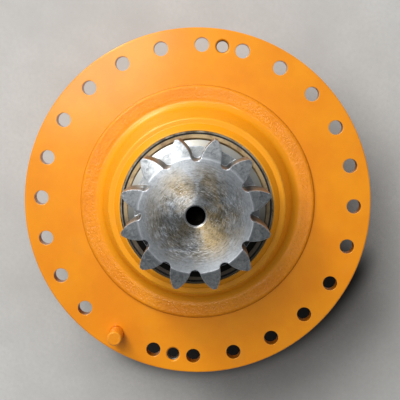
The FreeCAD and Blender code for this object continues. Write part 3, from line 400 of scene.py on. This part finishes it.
def scratch_marks(tree, place):
    """Fine marks that the tool and the handling left, bright ones and ones filled with grime: some
    follow the lathe's rings as short arcs, others run straight in three directions. Each is a noise
    that is squeezed across the mark."""
    radius = radius_and_height(tree, place)[0]
    ring = add(tree, "CombineXYZ", Z=add(tree, "Math", operation="MULTIPLY", Value=radius,
                                         Value_001=1 / (1.7 * MM)))
    wander = add(tree, "TexNoise", Vector=place, Scale=1 / (30 * MM), Detail=1.0)
    arc = add(tree, "VectorMath", operation="MULTIPLY_ADD", Vector=spoke(tree, place),
              Vector_001=(6.5, 6.5, 6.5), Vector_002=ring)
    lathe = add(tree, "TexNoise", Vector=arc, Scale=1.0, Detail=3.0, Roughness=0.6, Distortion=0.8)
    marks = add(tree, "MapRange", Value=lathe, From_Min=0.54, From_Max=0.68, To_Max=0.6)
    grime = add(tree, "MapRange", Value=lathe, From_Min=0.47, From_Max=0.34, To_Max=0.6)
    for turn in (0.6, 2.2, 1.3):
        turned = add(tree, "Mapping", Vector=place, Rotation=(0, 0, turn),
                     Scale=(1 / SCRATCH_LENGTH, 9 / SCRATCH_LENGTH, 1 / SCRATCH_LENGTH))
        mark = add(tree, "TexNoise", Vector=turned, Scale=1.0, Detail=3.0, Roughness=0.5,
                   Distortion=0.4)
        mark = add(tree, "MapRange", Value=mark, From_Min=0.62, From_Max=0.74, To_Max=0.55)
        marks = add(tree, "Math", operation="MAXIMUM", Value=mark, Value_001=marks)
    patchy = add(tree, "MapRange", Value=wander, From_Min=0.40, From_Max=0.60, To_Min=0.2)
    inner = add(tree, "MapRange", Value=radius, From_Min=78 * MM, From_Max=50 * MM, To_Min=0.15)
    patchy = add(tree, "Math", operation="MULTIPLY", Value=patchy, Value_001=inner)
    return (add(tree, "Math", operation="MULTIPLY", Value=marks, Value_001=patchy),
            add(tree, "Math", operation="MULTIPLY", Value=grime, Value_001=inner))


# %% Turned and oiled pinion steel
def pinion_steel():
    """The steel of the whole pinion shaft, from its turned face down to the splines."""
    finish, tree, surface, place = start("turned_pinion_steel", Metallic=1.0, Anisotropic=0.7,
                                         Anisotropic_Rotation=0.25)
    radius, height = radius_and_height(tree, place)
    face = add(tree, "MapRange", Value=height, From_Min=pinion_top - 0.8 * MM,
               From_Max=pinion_top - 0.2 * MM)
    centre = add(tree, "MapRange", Value=radius, From_Min=74 * MM, From_Max=44 * MM)
    stained = add(tree, "Math", operation="MULTIPLY", Value=centre, Value_001=face)
    # Painted highlight: the two fans take less dark stain and more tan, so they read paler.
    along = painted_highlight_fans(tree, place)
    scuff = add(tree, "TexNoise", Vector=place, Scale=1 / (8 * MM), Detail=8.0, Roughness=0.75,
                Distortion=1.6)
    mottle = add(tree, "MapRange", Value=scuff, From_Min=0.38, From_Max=0.64)
    dull = add(tree, "Math", operation="MULTIPLY", Value=mottle, Value_001=0.55)
    tint = add(tree, "Mix", 2, data_type="RGBA", Factor_Float=dull, A_Color=BARE_STEEL,
               B_Color=DARK_STEEL)
    tan = add(tree, "TexNoise", Vector=place, Scale=1 / (58 * MM), Detail=5.0, Roughness=0.62,
              Distortion=0.8)
    tan = add(tree, "Math", operation="MULTIPLY_ADD", Value=along, Value_001=0.12, Value_002=tan)
    tan = add(tree, "MapRange", Value=tan, From_Min=0.44, From_Max=0.62, To_Max=0.95)
    tan = add(tree, "Math", operation="MULTIPLY", Value=tan, Value_001=stained)
    tint = add(tree, "Mix", 2, data_type="RGBA", Factor_Float=tan, A_Color=tint, B_Color=OIL_TAN)
    dark = add(tree, "TexNoise", Vector=place, Scale=1 / (34 * MM), Detail=8.0, Roughness=0.72,
               Distortion=1.2)
    dark = add(tree, "Math", operation="MULTIPLY_ADD", Value=along, Value_001=-0.13,
               Value_002=dark)
    # A little painted shade on the low side is added to the dark stain.
    dark = add(tree, "Math", operation="MULTIPLY_ADD", Value=low_side_shade(tree, place),
               Value_001=0.06, Value_002=dark)
    dark = add(tree, "MapRange", Value=dark, From_Min=0.36, From_Max=0.56, To_Max=0.68)
    dark = add(tree, "Math", operation="MULTIPLY", Value=dark, Value_001=stained)
    tint = add(tree, "Mix", 2, data_type="RGBA", Factor_Float=dark, A_Color=tint, B_Color=OIL_DARK)

    scratches, grime = scratch_marks(tree, place)
    tint = add(tree, "Mix", 2, data_type="RGBA", Factor_Float=grime, A_Color=tint,
               B_Color=OIL_DARK)
    tint = add(tree, "Mix", 2, data_type="RGBA", Factor_Float=scratches, A_Color=tint,
               B_Color=BRIGHT_STEEL)
    # Painted highlight: a bright steel ring, a little smoother, where the end chamfer starts.
    wander = add(tree, "TexNoise", Vector=place, Scale=1 / (10 * MM), Detail=4.0)
    edge = add(tree, "Math", operation="MULTIPLY_ADD", Value=wander, Value_001=3 * MM,
               Value_002=radius)
    edge = add(tree, "Math", operation="SUBTRACT", Value=edge, Value_001=end_chamfer + 1.8 * MM)
    edge = add(tree, "Math", operation="ABSOLUTE", Value=edge)
    highlight_ring = add(tree, "MapRange", Value=edge, From_Min=2.6 * MM, From_Max=0.2 * MM, To_Max=0.55)
    near_top = add(tree, "MapRange", Value=height, From_Min=pinion_top - 4 * MM,
                   From_Max=pinion_top - 3 * MM)
    highlight_ring = add(tree, "Math", operation="MULTIPLY", Value=highlight_ring, Value_001=near_top)
    chamfer = add(tree, "MapRange", Value=radius, From_Min=end_chamfer,
                  From_Max=end_chamfer + 5 * MM, To_Max=0.8)
    streak = add(tree, "MapRange", Value=scuff, From_Min=0.36, From_Max=0.6)
    slope_tint = add(tree, "Mix", 2, data_type="RGBA", Factor_Float=streak,
                     A_Color=CHAMFER_DARK, B_Color=CHAMFER_STEEL)
    tint = add(tree, "Mix", 2, data_type="RGBA", Factor_Float=chamfer, A_Color=tint,
               B_Color=slope_tint)
    tint = add(tree, "Mix", 2, data_type="RGBA", Factor_Float=highlight_ring, A_Color=tint,
               B_Color=BRIGHT_STEEL)
    flank = add(tree, "MapRange", Value=height, From_Min=pinion_top - 15 * MM,
                From_Max=pinion_top - 24 * MM)
    above = add(tree, "MapRange", Value=height, From_Min=shoulder_top + 0.5 * MM,
                From_Max=shoulder_top + 3 * MM)
    flank = add(tree, "Math", operation="MULTIPLY", Value=flank, Value_001=above)
    film = add(tree, "TexNoise", Vector=place, Scale=1 / (24 * MM), Detail=5.0)
    film = add(tree, "MapRange", Value=film, From_Min=0.38, From_Max=0.6)
    oiled = add(tree, "Mix", 2, data_type="RGBA", Factor_Float=film, A_Color=DRY_OIL,
                B_Color=DARK_STEEL)
    tint = add(tree, "Mix", 2, data_type="RGBA", Factor_Float=flank, A_Color=tint, B_Color=oiled)
    # Painted shade: the shoulder below the flanks is coloured dark on the low side.
    shoulder_shade = add(tree, "Math", operation="SUBTRACT", Value=0.9, Value_001=above)
    shoulder_shade = add(tree, "Math", operation="MULTIPLY", Value=shoulder_shade, Value_001=low_side_shade(tree, place))
    tint = add(tree, "Mix", 2, data_type="RGBA", Factor_Float=shoulder_shade, A_Color=tint, B_Color=PAINTED_SHADE)
    rounded, edge = worn_edge(tree, 1.6 * MM)
    bright = add(tree, "Math", operation="MULTIPLY", Value=edge, Value_001=0.7)
    tint = add(tree, "Mix", 2, data_type="RGBA", Factor_Float=bright, A_Color=tint,
               B_Color=BRIGHT_STEEL)
    # Painted shade: the tapped hole in the face and its thread are coloured near black.
    hole = add(tree, "MapRange", Value=radius, From_Min=lifting_thread + 0.4 * MM,
               From_Max=lifting_thread)
    tint = add(tree, "Mix", 2, data_type="RGBA", Factor_Float=hole, A_Color=tint,
               B_Color=HOLE_SHADE)
    gloss = add(tree, "MapRange", Value=mottle, To_Min=0.30, To_Max=0.46)
    gloss = add(tree, "Math", operation="MULTIPLY_ADD", Value=highlight_ring, Value_001=-0.08,
                Value_002=gloss)

    wave = add(tree, "Math", operation="MULTIPLY", Value=radius,
               Value_001=2 * math.pi / TURNING_PITCH)
    wave = add(tree, "Math", operation="SINE", Value=wave)
    wave = add(tree, "Math", operation="MULTIPLY", Value=wave, Value_001=face)
    relief = add(tree, "Math", operation="MULTIPLY_ADD", Value=wave, Value_001=0.08,
                 Value_002=scuff)
    relief = add(tree, "Math", operation="MULTIPLY_ADD", Value=scratches, Value_001=-0.8,
                 Value_002=relief)
    join(tree, surface, Base_Color=tint, Roughness=gloss,
         Normal=add(tree, "Bump", Height=relief, Distance=0.10 * MM, Normal=rounded),
         Tangent=add(tree, "Tangent", direction_type="RADIAL", axis="Z"))
    return finish


pinion_finish = pinion_steel()
print("pinion steel with rings every", TURNING_PITCH / MM, "mm")

# %% [markdown]
# ## Other metals
# The remaining metals differ in colour, in roughness and in how they were made. Ground and turned
# ones carry rings round their axis, cast and forged ones a grain in every direction. One recipe
# takes those facts, so each metal is one line that can be compared with its neighbours.

# %% Metals by how they were made
def metal(name, clean, stained, share, roughness, grit, turned, depth, paint_low_side_shade=False):
    """A metal with its share of stain, and its grit, ring pitch and bump depth in millimetres."""
    finish, tree, surface, place = start(name, Metallic=1.0, Anisotropic=0.4 if turned else 0.0)
    blotch = add(tree, "TexNoise", Vector=place, Scale=1 / (26 * MM), Detail=6.0, Roughness=0.65)
    blotch = add(tree, "MapRange", Value=blotch, From_Min=0.42, From_Max=0.66)
    stain = add(tree, "Math", operation="MULTIPLY", Value=blotch, Value_001=share)
    tint = add(tree, "Mix", 2, data_type="RGBA", Factor_Float=stain, A_Color=colour(clean),
               B_Color=colour(stained))
    # Painted shade: the low side is coloured dark, away from the lamps.
    if paint_low_side_shade:
        tint = add(tree, "Mix", 2, data_type="RGBA", Factor_Float=low_side_shade(tree, place),
                   A_Color=tint, B_Color=PAINTED_SHADE)
    gloss = add(tree, "Math", operation="MULTIPLY_ADD", Value=blotch, Value_001=0.12,
                Value_002=roughness)
    skin = add(tree, "TexNoise", Vector=place, Scale=1 / (grit * MM), Detail=4.0)
    if turned:
        radius, height = radius_and_height(tree, place)
        wave = add(tree, "Math", operation="ADD", Value=radius, Value_001=height)
        wave = add(tree, "Math", operation="MULTIPLY", Value=wave,
                   Value_001=2 * math.pi / (turned * MM))
        wave = add(tree, "Math", operation="SINE", Value=wave)
        skin = add(tree, "Math", operation="MULTIPLY_ADD", Value=wave, Value_001=0.35,
                   Value_002=skin)
        join(tree, surface, Tangent=add(tree, "Tangent", direction_type="RADIAL", axis="Z"))
    join(tree, surface, Base_Color=tint, Roughness=gloss,
         Normal=add(tree, "Bump", Height=skin, Distance=depth * MM))
    return finish


# The sleeve is coloured darker on its low side, a painted shade.
sleeve_steel = metal("polished_sleeve_steel", "#B9B7B0", "#A08A60", 0.35, 0.30, 3.0, 0.9, 0.03,
                     paint_low_side_shade=True)
turned_steel = metal("turned_steel", "#8D8B84", "#6E6450", 0.5, 0.38, 2.0, 1.1, 0.05)
gear_steel = metal("hardened_gear_steel", "#8F8F8E", "#6D675B", 0.4, 0.34, 2.0, 0, 0.05)
bearing_steel = metal("ground_bearing_steel", "#BFC1C2", "#9A968C", 0.25, 0.16, 4.0, 0.6, 0.02)
cage_steel = metal("pressed_cage_steel", "#77797A", "#5B5750", 0.4, 0.42, 2.0, 0, 0.05)
bronze = metal("bearing_bronze", "#B98A4B", "#8A6432", 0.4, 0.34, 2.0, 0, 0.05)
ductile_iron = metal("ductile_iron", "#4B4C4E", "#37332E", 0.5, 0.55, 1.6, 0, 0.15)
black_steel = metal("phosphated_steel", "#2B2C2E", "#1E1D1C", 0.4, 0.48, 1.2, 0, 0.05)
zinc_steel = metal("zinc_plated_steel", "#A9ADB0", "#8A8878", 0.4, 0.30, 1.5, 0, 0.04)
copper = metal("annealed_copper", "#B87554", "#8A553C", 0.4, 0.32, 2.0, 0, 0.04)
print("metals", len([one for one in bpy.data.materials if one.node_tree]))


# %% [markdown]
# ## Greasy seal carrier
# The ring that holds the seal is turned steel, screwed into the nose. Old grease is packed into the
# groove on its face, coloured near black, which is partly grease and partly painted shade in the
# groove. Grease lies as a film on the rest, and the low side is painted darker as painted shade.
# Packed grease isn't metal, so the mask that colours it also takes the metal away.

# %% Seal carrier
CARRIER_STEEL = colour("#948B79")
# The greasy colour, also used for painted shade on the low side:
GREASE_FILM_AND_SHADE = colour("#5A5347")
# Near black for the packed groove, partly painted shade:
PACKED_GREASE_AND_SHADE = colour("#1C1A17")
GROOVE_MOUTH = 92.4 * MM


def greasy_carrier():
    """The seal's ring: turned steel, its groove near black as packed grease and painted shade."""
    finish, tree, surface, place = start("greasy_carrier_steel")
    height = radius_and_height(tree, place)[1]
    # Partly painted shade: all below the groove's mouth is coloured near black and not metal.
    packed = add(tree, "MapRange", Value=height, From_Min=GROOVE_MOUTH,
                 From_Max=GROOVE_MOUTH - 1.9 * MM)
    film = add(tree, "TexNoise", Vector=place, Scale=1 / (14 * MM), Detail=6.0, Roughness=0.65)
    film = add(tree, "MapRange", Value=film, From_Min=0.42, From_Max=0.62)
    # Painted shade: the low side takes the greasy colour too.
    film = add(tree, "Math", operation="MAXIMUM", Value=film, Value_001=low_side_shade(tree, place))
    tint = add(tree, "Mix", 2, data_type="RGBA", Factor_Float=film, A_Color=CARRIER_STEEL,
               B_Color=GREASE_FILM_AND_SHADE)
    tint = add(tree, "Mix", 2, data_type="RGBA", Factor_Float=packed, A_Color=tint,
               B_Color=PACKED_GREASE_AND_SHADE)
    clean = add(tree, "Math", operation="SUBTRACT", Value=1.0, Value_001=packed)
    gloss = add(tree, "MapRange", Value=film, To_Min=0.34, To_Max=0.5)
    skin = add(tree, "TexNoise", Vector=place, Scale=1 / (2 * MM), Detail=4.0)
    join(tree, surface, Base_Color=tint, Metallic=clean, Roughness=gloss,
         Normal=add(tree, "Bump", Height=skin, Distance=0.08 * MM))
    return finish


carrier_steel = greasy_carrier()
print("groove packed below", round(GROOVE_MOUTH / MM, 1), "mm")

# %% [markdown]
# ## Rubber
# The seal is a tan nitrile rubber, moulded, with a film of grease over it. Rubber isn't metallic
# and scatters light at a high roughness, and the grease shows as patches that are smoother and
# darker. The seal is also painted darker on its low side, away from the lamps, as painted shade.

# %% Rubbers
def rubber(name, clean, greasy, roughness, paint_low_side_shade=False):
    """A moulded rubber with patches of grease, and painted shade on its low side if asked for."""
    finish, tree, surface, place = start(name, IOR=1.52)
    smear = add(tree, "TexNoise", Vector=place, Scale=1 / (16 * MM), Detail=5.0, Roughness=0.6)
    smear = add(tree, "MapRange", Value=smear, From_Min=0.45, From_Max=0.64)
    tint = add(tree, "Mix", 2, data_type="RGBA", Factor_Float=smear, A_Color=colour(clean),
               B_Color=colour(greasy))
    if paint_low_side_shade:
        # Painted shade: the low side of the seal is coloured darker.
        rubber_low_shade = add(tree, "Math", operation="MULTIPLY", Value=low_side_shade(tree, place),
                  Value_001=0.75)
        tint = add(tree, "Mix", 2, data_type="RGBA", Factor_Float=rubber_low_shade, A_Color=tint,
                   B_Color=PAINTED_SHADE)
    gloss = add(tree, "MapRange", Value=smear, To_Min=roughness, To_Max=roughness - 0.25)
    skin = add(tree, "TexNoise", Vector=place, Scale=1 / (1.2 * MM), Detail=3.0)
    join(tree, surface, Base_Color=tint, Roughness=gloss,
         Normal=add(tree, "Bump", Height=skin, Distance=0.06 * MM))
    return finish


tan_rubber = rubber("tan_nitrile_seal", "#B59B70", "#86683F", 0.55, paint_low_side_shade=True)
black_rubber = rubber("black_nitrile", "#1A1918", "#0F0E0D", 0.5)
print("rubbers", tan_rubber.name, black_rubber.name)

# %% [markdown]
# ## Finishes on the parts
# Each part takes one finish. The table reads like a parts list, with the finish first.

# %% Put the finishes on
FINISHES = [
    (housing_enamel, ["output_housing"]),
    (case_enamel, ["dowel_pin", "ring_gear_stage_2", "ring_gear_stage_1", "motor_cover"]),
    (pinion_finish, ["output_pinion_shaft"]),
    (sleeve_steel, ["wear_sleeve"]),
    (carrier_steel, ["seal_carrier"]),
    (turned_steel, ["planet_pins_2", "planet_pins_1", "input_sun_shaft", "sun_gear_stage_2"]),
    (bearing_steel, [name for name in nodes if name.endswith(("_cup", "_cone", "_rollers",
                                                              "_balls", "_outer", "_inner"))]),
    (cage_steel, [name for name in nodes if name.endswith("_cage")]),
    (ductile_iron, ["carrier_stage_2", "carrier_stage_1"]),
    (black_steel, [name for name in nodes if name.startswith("bearing_")
                   or "snap_ring" in name or "pin_locks" in name]),
    (zinc_steel, ["through_bolts", "through_bolt_washers", "drain_plug", "level_plug",
                  "breather"]),
    (copper, ["plug_washers"]),
    (tan_rubber, ["oil_seal"]),
    (black_rubber, [name for name in nodes if name.endswith("o_ring")]),
    (bronze, [name for name in nodes if "bush" in name or "thrust" in name]),
    (gear_steel, [name for name in nodes if name.startswith("planet_gear")]),
]


def wear(piece, finish):
    """Give an object this finish all over."""
    if not piece.material_slots:
        piece.data.materials.append(finish)
    for slot in piece.material_slots:
        slot.material = finish


dressed = []
for finish, names in FINISHES:
    for name in names:
        wear(nodes[name], finish)
        dressed.append(name)
print("dressed", len(set(dressed)), "undressed", sorted(set(nodes) - set(dressed)))

# %% [markdown]
# ## Turned and hexagonal forms
# Bolt heads, plugs and caps are all rings of points, one above the other: round where a lathe made
# them, and six-sided where a spanner grips. One function joins such rings to a closed skin. A ring
# may bend in height too, which gives the scalloped edge of a chamfered hexagon. Another function
# makes any such mesh an object that moves with its body.

# %% A mesh that rides on a body
def settle(mesh, name, finish, body):
    """Turn a mesh into an object with its finish, and let it ride on its body."""
    bmesh.ops.recalc_face_normals(mesh, faces=mesh.faces)
    data = bpy.data.meshes.new(name)
    mesh.to_mesh(data)
    mesh.free()
    data.materials.append(finish)
    piece = bpy.data.objects.new(name, data)
    bpy.context.scene.collection.objects.link(piece)
    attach(piece, body)
    print(name, "faces", len(data.polygons))
    return piece


# %% Rings of points joined to a skin
STEPS = 48


def hexagon(flat):
    """The radius of a hexagon at each step, from half its width across the flats."""
    return [flat / math.cos((turn * 2 * math.pi / STEPS) % (math.pi / 3) - math.pi / 6)
            for turn in range(STEPS)]


def join_rings(name, rings, places, finish, body):
    """Join rings of (radius, height) into a closed mesh, set it at each place, and let it ride.
    A radius or height is a number or one number for each step."""
    mesh = bmesh.new()
    for place in places:
        rows = []
        for radius, height in rings:
            row = []
            for step in range(STEPS):
                turn = step * 2 * math.pi / STEPS
                out = radius[step] if isinstance(radius, list) else radius
                up = height[step] if isinstance(height, list) else height
                row.append(mesh.verts.new(place @ Vector((out * math.cos(turn) * MM,
                                                          out * math.sin(turn) * MM, up * MM))))
            rows.append(row)
        for low, high in zip(rows, rows[1:]):
            for step in range(STEPS):
                after = (step + 1) % STEPS
                mesh.faces.new((low[step], low[after], high[after], high[step]))
        mesh.faces.new(rows[0][::-1])
        mesh.faces.new(rows[-1])
    return settle(mesh, name, finish, body)


# %% [markdown]
# ## Through bolts
# Twelve long bolts clamp the cover and both ring gears to the housing. A forged hex head has a
# washer face under it, so that the corners don't dig in, and its top is chamfered at 30 degrees,
# which cuts a scallop on each flat. The plain prism of the model is replaced by this form.

# %% Chamfered bolts
BOLT_CIRCLE = 154.5
HEAD_FLAT = 9.0
FACE_RADIUS = 8.1
SLOPE = math.tan(math.radians(30))
head = hexagon(HEAD_FLAT)
low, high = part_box("through_bolts")[0].z / MM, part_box("through_bolts")[1].z / MM
scallop = [low + (radius - FACE_RADIUS) * SLOPE for radius in head]
seat = low + 7.5
bolt_rings = [(FACE_RADIUS - 1.6, low + 0.3), (FACE_RADIUS - 1.3, low), (FACE_RADIUS, low),
              (head, scallop), (head, seat - 0.6), (8.5, seat - 0.6), (8.5, seat), (6.0, seat),
              (6.0, high - 1), (5.2, high)]
bolt_places = [Matrix.Rotation(math.radians(15 + 30 * turn), 4, "Z")
               @ Matrix.Translation((BOLT_CIRCLE * MM, 0, 0)) for turn in range(12)]
bolts = join_rings("through_bolt_set", bolt_rings, bolt_places, zinc_steel, "housing")
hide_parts("through_bolts")
print("bolts", len(bolt_places), "head from", round(low), "to", round(seat, 1))

# %% [markdown]
# ## Plugs
# The drain and the level plug are turned screws with a hexagon socket. The rim is rounded, and the
# socket has a small countersink, where the key goes in. Their axes lie flat, so the same rings are
# turned to point outwards.

# %% Socket plugs
PLUG_RADIUS = 14
socket = hexagon(5.0)
plug_rings = [(socket, 4.5), (socket, 9.8), (6.4, 10.5), (PLUG_RADIUS - 1.5, 10.5),
              (PLUG_RADIUS - 0.4, 10.1), (PLUG_RADIUS, 9.2), (PLUG_RADIUS, 2.0),
              (PLUG_RADIUS - 0.5, 1.5), (9.0, 1.5), (9.0, -13), (8, -14)]
for name, turn, level in (("drain_plug", 0, -58), ("level_plug", math.pi, -127)):
    outward = (Matrix.Rotation(turn, 4, "Z") @ Matrix.Translation((case_radius, 0, level * MM))
               @ Matrix.Rotation(math.pi / 2, 4, "Y"))
    plug = join_rings(name + "_turned", plug_rings, [outward], zinc_steel, "housing")
    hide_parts(name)
    print(name, "at", [round(part) for part in outward.translation / MM])

# %% [markdown]
# ## Breather
# The breather lets warm air out of the case. It is a hexagon with a domed cap over it, and the gap
# under the cap is where the air leaves. It hangs from the cover, on the motor side.

# %% Breather with a domed cap
BREATHER_OFFSET = 140
spanner = hexagon(9.5)
cover = cover_top / MM - 22
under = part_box("breather")[0].z / MM
breather_rings = [(2.0, under), (5.0, under + 0.3), (7.6, under + 1.3), (9.0, under + 3),
                  (9.5, under + 5.2), (9.5, under + 9), (9.0, under + 9.6), (6.5, under + 9.6),
                  (6.5, under + 11.6), (8.4, under + 11.6), (spanner, under + 12.4),
                  (spanner, cover), (7.0, cover), (7.0, cover + 13), (6.2, cover + 14)]
breather = join_rings("breather_capped", breather_rings,
                      [Matrix.Translation((BREATHER_OFFSET * MM, 0, 0))], zinc_steel, "housing")
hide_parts("breather")
print("breather from", round(under), "to", round(cover))


# %% [markdown]
# ## Threads
# A tapped hole shows the crests of its thread as a fine spiral on the wall. Here a ridge with a
# pointed section follows a helix. It stands a little into the hole, because the hole in the model
# has the diameter of those crests.

# %% Thread ridges
THREAD_STEPS = 24
MOTOR_BOLT_CIRCLE = 100


def thread(name, radius, pitch, high, low, places, finish, body):
    """A pointed helical ridge on the wall of a hole, in millimetres."""
    mesh = bmesh.new()
    turns = (high - low) / pitch
    steps = int(turns * THREAD_STEPS)
    for place in places:
        rows = []
        for step in range(steps + 1):
            turn = step / THREAD_STEPS * 2 * math.pi
            level = low + pitch * step / THREAD_STEPS
            rows.append([mesh.verts.new(place @ Vector((out * math.cos(turn) * MM,
                                                        out * math.sin(turn) * MM,
                                                        (level + up) * MM)))
                         for out, up in ((radius + 0.05, -pitch * 0.3), (radius - 0.7, 0),
                                         (radius + 0.05, pitch * 0.3))])
        for first, second in zip(rows, rows[1:]):
            for side in (0, 1, 2):
                after = (side + 1) % 3
                mesh.faces.new((first[side], first[after], second[after], second[side]))
        mesh.faces.new(rows[0][::-1])
        mesh.faces.new(rows[-1])
    return settle(mesh, name, finish, body)


jacks = [Matrix.Rotation(math.radians(turn), 4, "Z") @ Matrix.Translation((hole_ring, 0, 0))
         for turn in (-67.5, 112.5)]
motor_taps = [Matrix.Rotation(math.radians(turn), 4, "Z")
              @ Matrix.Translation((MOTOR_BOLT_CIRCLE * MM, 0, 0))
              for turn in (45, 135, 225, 315)]
thread("pinion_hole_thread", lifting_thread / MM, 3.5, 217, 178, [Matrix.Identity(4)],
       pinion_finish, "output")
thread("jacking_hole_threads", 9.65, 2.5, -3, -22, jacks, turned_steel, "housing")
thread("motor_hole_threads", 6.9, 2.0, -338, -357, motor_taps, turned_steel, "housing")
print("threads in", 1 + len(jacks) + len(motor_taps), "holes")

# %% [markdown]
# ## Sealant at the joints
# The joints of the case are sealed when it is bolted up, and a little sealant squeezes out all
# round before the case is sprayed. The bead is uneven, so its thickness wanders round the ring.

# %% Squeezed sealant
BEAD_STEPS = 240
bead_mesh = bmesh.new()
joints = [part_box("ring_gear_stage_2")[1].z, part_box("ring_gear_stage_1")[1].z, cover_top]
for number, level in enumerate(joints):
    rows = []
    for step in range(BEAD_STEPS):
        turn = step * 2 * math.pi / BEAD_STEPS
        swell = 0.85 + 0.25 * math.sin(7 * turn + number) + 0.18 * math.sin(17 * turn + 2 * number)
        row = []
        for side in range(8):
            lean = side * math.pi / 4
            out = case_radius - 0.2 * MM + max(0.2, swell) * MM * math.cos(lean)
            row.append(bead_mesh.verts.new((out * math.cos(turn), out * math.sin(turn),
                                            level + max(0.2, swell) * MM * math.sin(lean))))
        rows.append(row)
    for step in range(BEAD_STEPS):
        first, second = rows[step], rows[(step + 1) % BEAD_STEPS]
        for side in range(8):
            after = (side + 1) % 8
            bead_mesh.faces.new((first[side], first[after], second[after], second[side]))
settle(bead_mesh, "joint_sealant", case_enamel, "housing")
print("sealant at", [round(level / MM) for level in joints])

# %% [markdown]
# ## Floor
# The drive stands on its motor end, so the floor lies at its lowest face. It is pale concrete, with
# a painted shadow in its colour where the drive keeps the open sky away: close round the foot, and
# under the flange on the side away from the light. So the floor shows pale through the upper holes
# and dark through the lower ones.

# %% Floor
FLOOR = colour("#C8C7C3")
FLOOR_DARK = colour("#B8B7B3")
FLOOR_SHADE = colour("#0C0C0A")
SKY_REACH = 0.36
RIM_SHADE_END = 0.395
RIM_SHADE_FULL = 0.334
LEE_TURN = 291


def direction(turn, rise):
    """A unit vector from its direction in the photograph and its height, in degrees."""
    turn, rise = math.radians(turn), math.radians(rise)
    across = math.cos(turn) * image_right + math.sin(turn) * image_up
    across = Vector((across.x, across.y, 0)).normalized()
    return across * math.cos(rise) + Vector((0, 0, math.sin(rise)))


bright_side = direction(122, 32)


def floor_finish():
    """Pale concrete with a painted shadow under the drive."""
    finish, tree, surface, place = start("power_floated_concrete", Roughness=0.85)
    clouds = add(tree, "TexNoise", Vector=place, Scale=1 / (240 * MM), Detail=8.0, Roughness=0.62)
    clouds = add(tree, "MapRange", Value=clouds, From_Min=0.36, From_Max=0.66)
    tint = add(tree, "Mix", 2, data_type="RGBA", Factor_Float=clouds, A_Color=FLOOR,
               B_Color=FLOOR_DARK)
    speckle = add(tree, "TexNoise", Vector=place, Scale=1 / (7 * MM), Detail=3.0)
    speckle = add(tree, "MapRange", Value=speckle, From_Min=0.4, From_Max=0.7, To_Max=0.4)
    tint = add(tree, "Mix", 2, data_type="RGBA", Factor_Float=speckle, A_Color=tint,
               B_Color=FLOOR_DARK)
    # Painted shadow: occlusion towards the lamps' side darkens the floor's colour.
    lean = add(tree, "CombineXYZ", X=bright_side.x, Y=bright_side.y, Z=bright_side.z)
    open_sky = add(tree, "AmbientOcclusion", 1, samples=16, Distance=SKY_REACH, Normal=lean)
    shade = add(tree, "MapRange", Value=open_sky, From_Min=0.62, From_Max=0.95, To_Min=0.9,
                To_Max=0.0)
    radius = radius_and_height(tree, place)[0]
    # Painted shadow: a band just outside the flange, on the side away from the light, is coloured
    # near black.
    under = add(tree, "MapRange", interpolation_type="SMOOTHSTEP", Value=radius,
                From_Min=RIM_SHADE_END, From_Max=RIM_SHADE_FULL)
    lee = add(tree, "VectorMath", 1, operation="DOT_PRODUCT", Vector=spoke(tree, place),
              Vector_001=direction(LEE_TURN, 0))
    lee = add(tree, "MapRange", interpolation_type="SMOOTHSTEP", Value=lee, From_Min=0.52,
              From_Max=0.79)
    under = add(tree, "Math", operation="MULTIPLY", Value=under, Value_001=lee)
    shade = add(tree, "Math", operation="MAXIMUM", Value=shade, Value_001=under)
    tint = add(tree, "Mix", 2, data_type="RGBA", Factor_Float=shade, A_Color=tint,
               B_Color=FLOOR_SHADE)
    join(tree, surface, Base_Color=tint)
    return finish


bpy.ops.mesh.primitive_plane_add(size=12, location=(0, 0, stand_level))
floor = bpy.context.object
floor.name = "floor"
floor.data.materials.append(floor_finish())
print("floor at", round(stand_level / MM))


# %% [markdown]
# ## Light
# A broad lamp high on the photograph's upper left gives the soft shading of the nose. A small one
# nearly overhead lays a sheen on the upper left, and a low one lights the teeth and the dowel from
# the side. The sky is pale round the lamps and darker opposite, which gives the bare steel
# something to mirror. The camera itself sees the sky in the floor's colour, so that the horizon
# stays faint in a view from the side.

# %% Lamps
def lamp(name, turn, rise, far, size, power):
    """A round soft lamp that points at the drive."""
    data = bpy.data.lights.new(name, "AREA")
    data.shape = "DISK"
    data.size = size
    data.energy = power
    light = bpy.data.objects.new(name, data)
    place = direction(turn, rise) * far
    light.matrix_world = aimed(place, Vector((0, 0, 0)), 0)
    bpy.context.scene.collection.objects.link(light)
    print(name, "at", [round(part, 2) for part in place])


lamp("key", 120, 60, 5.0, 2.0, 97)
lamp("overhead", 138, 76, 3.0, 0.8, 11)
lamp("low", 122, 27, 4.0, 1.0, 68)

# %% Sky
SKY_LOW = colour("#5C5E60")
SKY_HIGH = colour("#F2F5F8")
sky = bpy.data.worlds.new("sky")
sky.use_nodes = True
bpy.context.scene.world = sky
look = add(sky.node_tree, "TexCoord")
toward = add(sky.node_tree, "VectorMath", 1, operation="DOT_PRODUCT", Vector=look,
             Vector_001=bright_side)
lift = add(sky.node_tree, "MapRange", Value=toward, From_Min=-1.0, From_Max=1.0)
lift = add(sky.node_tree, "Math", operation="POWER", Value=lift, Value_001=3.0)
pale = add(sky.node_tree, "Mix", 2, data_type="RGBA", Factor_Float=lift,
           A_Color=SKY_LOW, B_Color=SKY_HIGH)
pale = add(sky.node_tree, "Mix", 2, data_type="RGBA", B_Color=FLOOR, A_Color=pale,
           Factor_Float=add(sky.node_tree, "LightPath"))
ground = sky.node_tree.nodes["Background"]
sky.node_tree.links.new(pale, ground.inputs["Color"])
ground.inputs["Strength"].default_value = 0.98
print("sky is brightest towards", [round(part, 2) for part in bright_side])
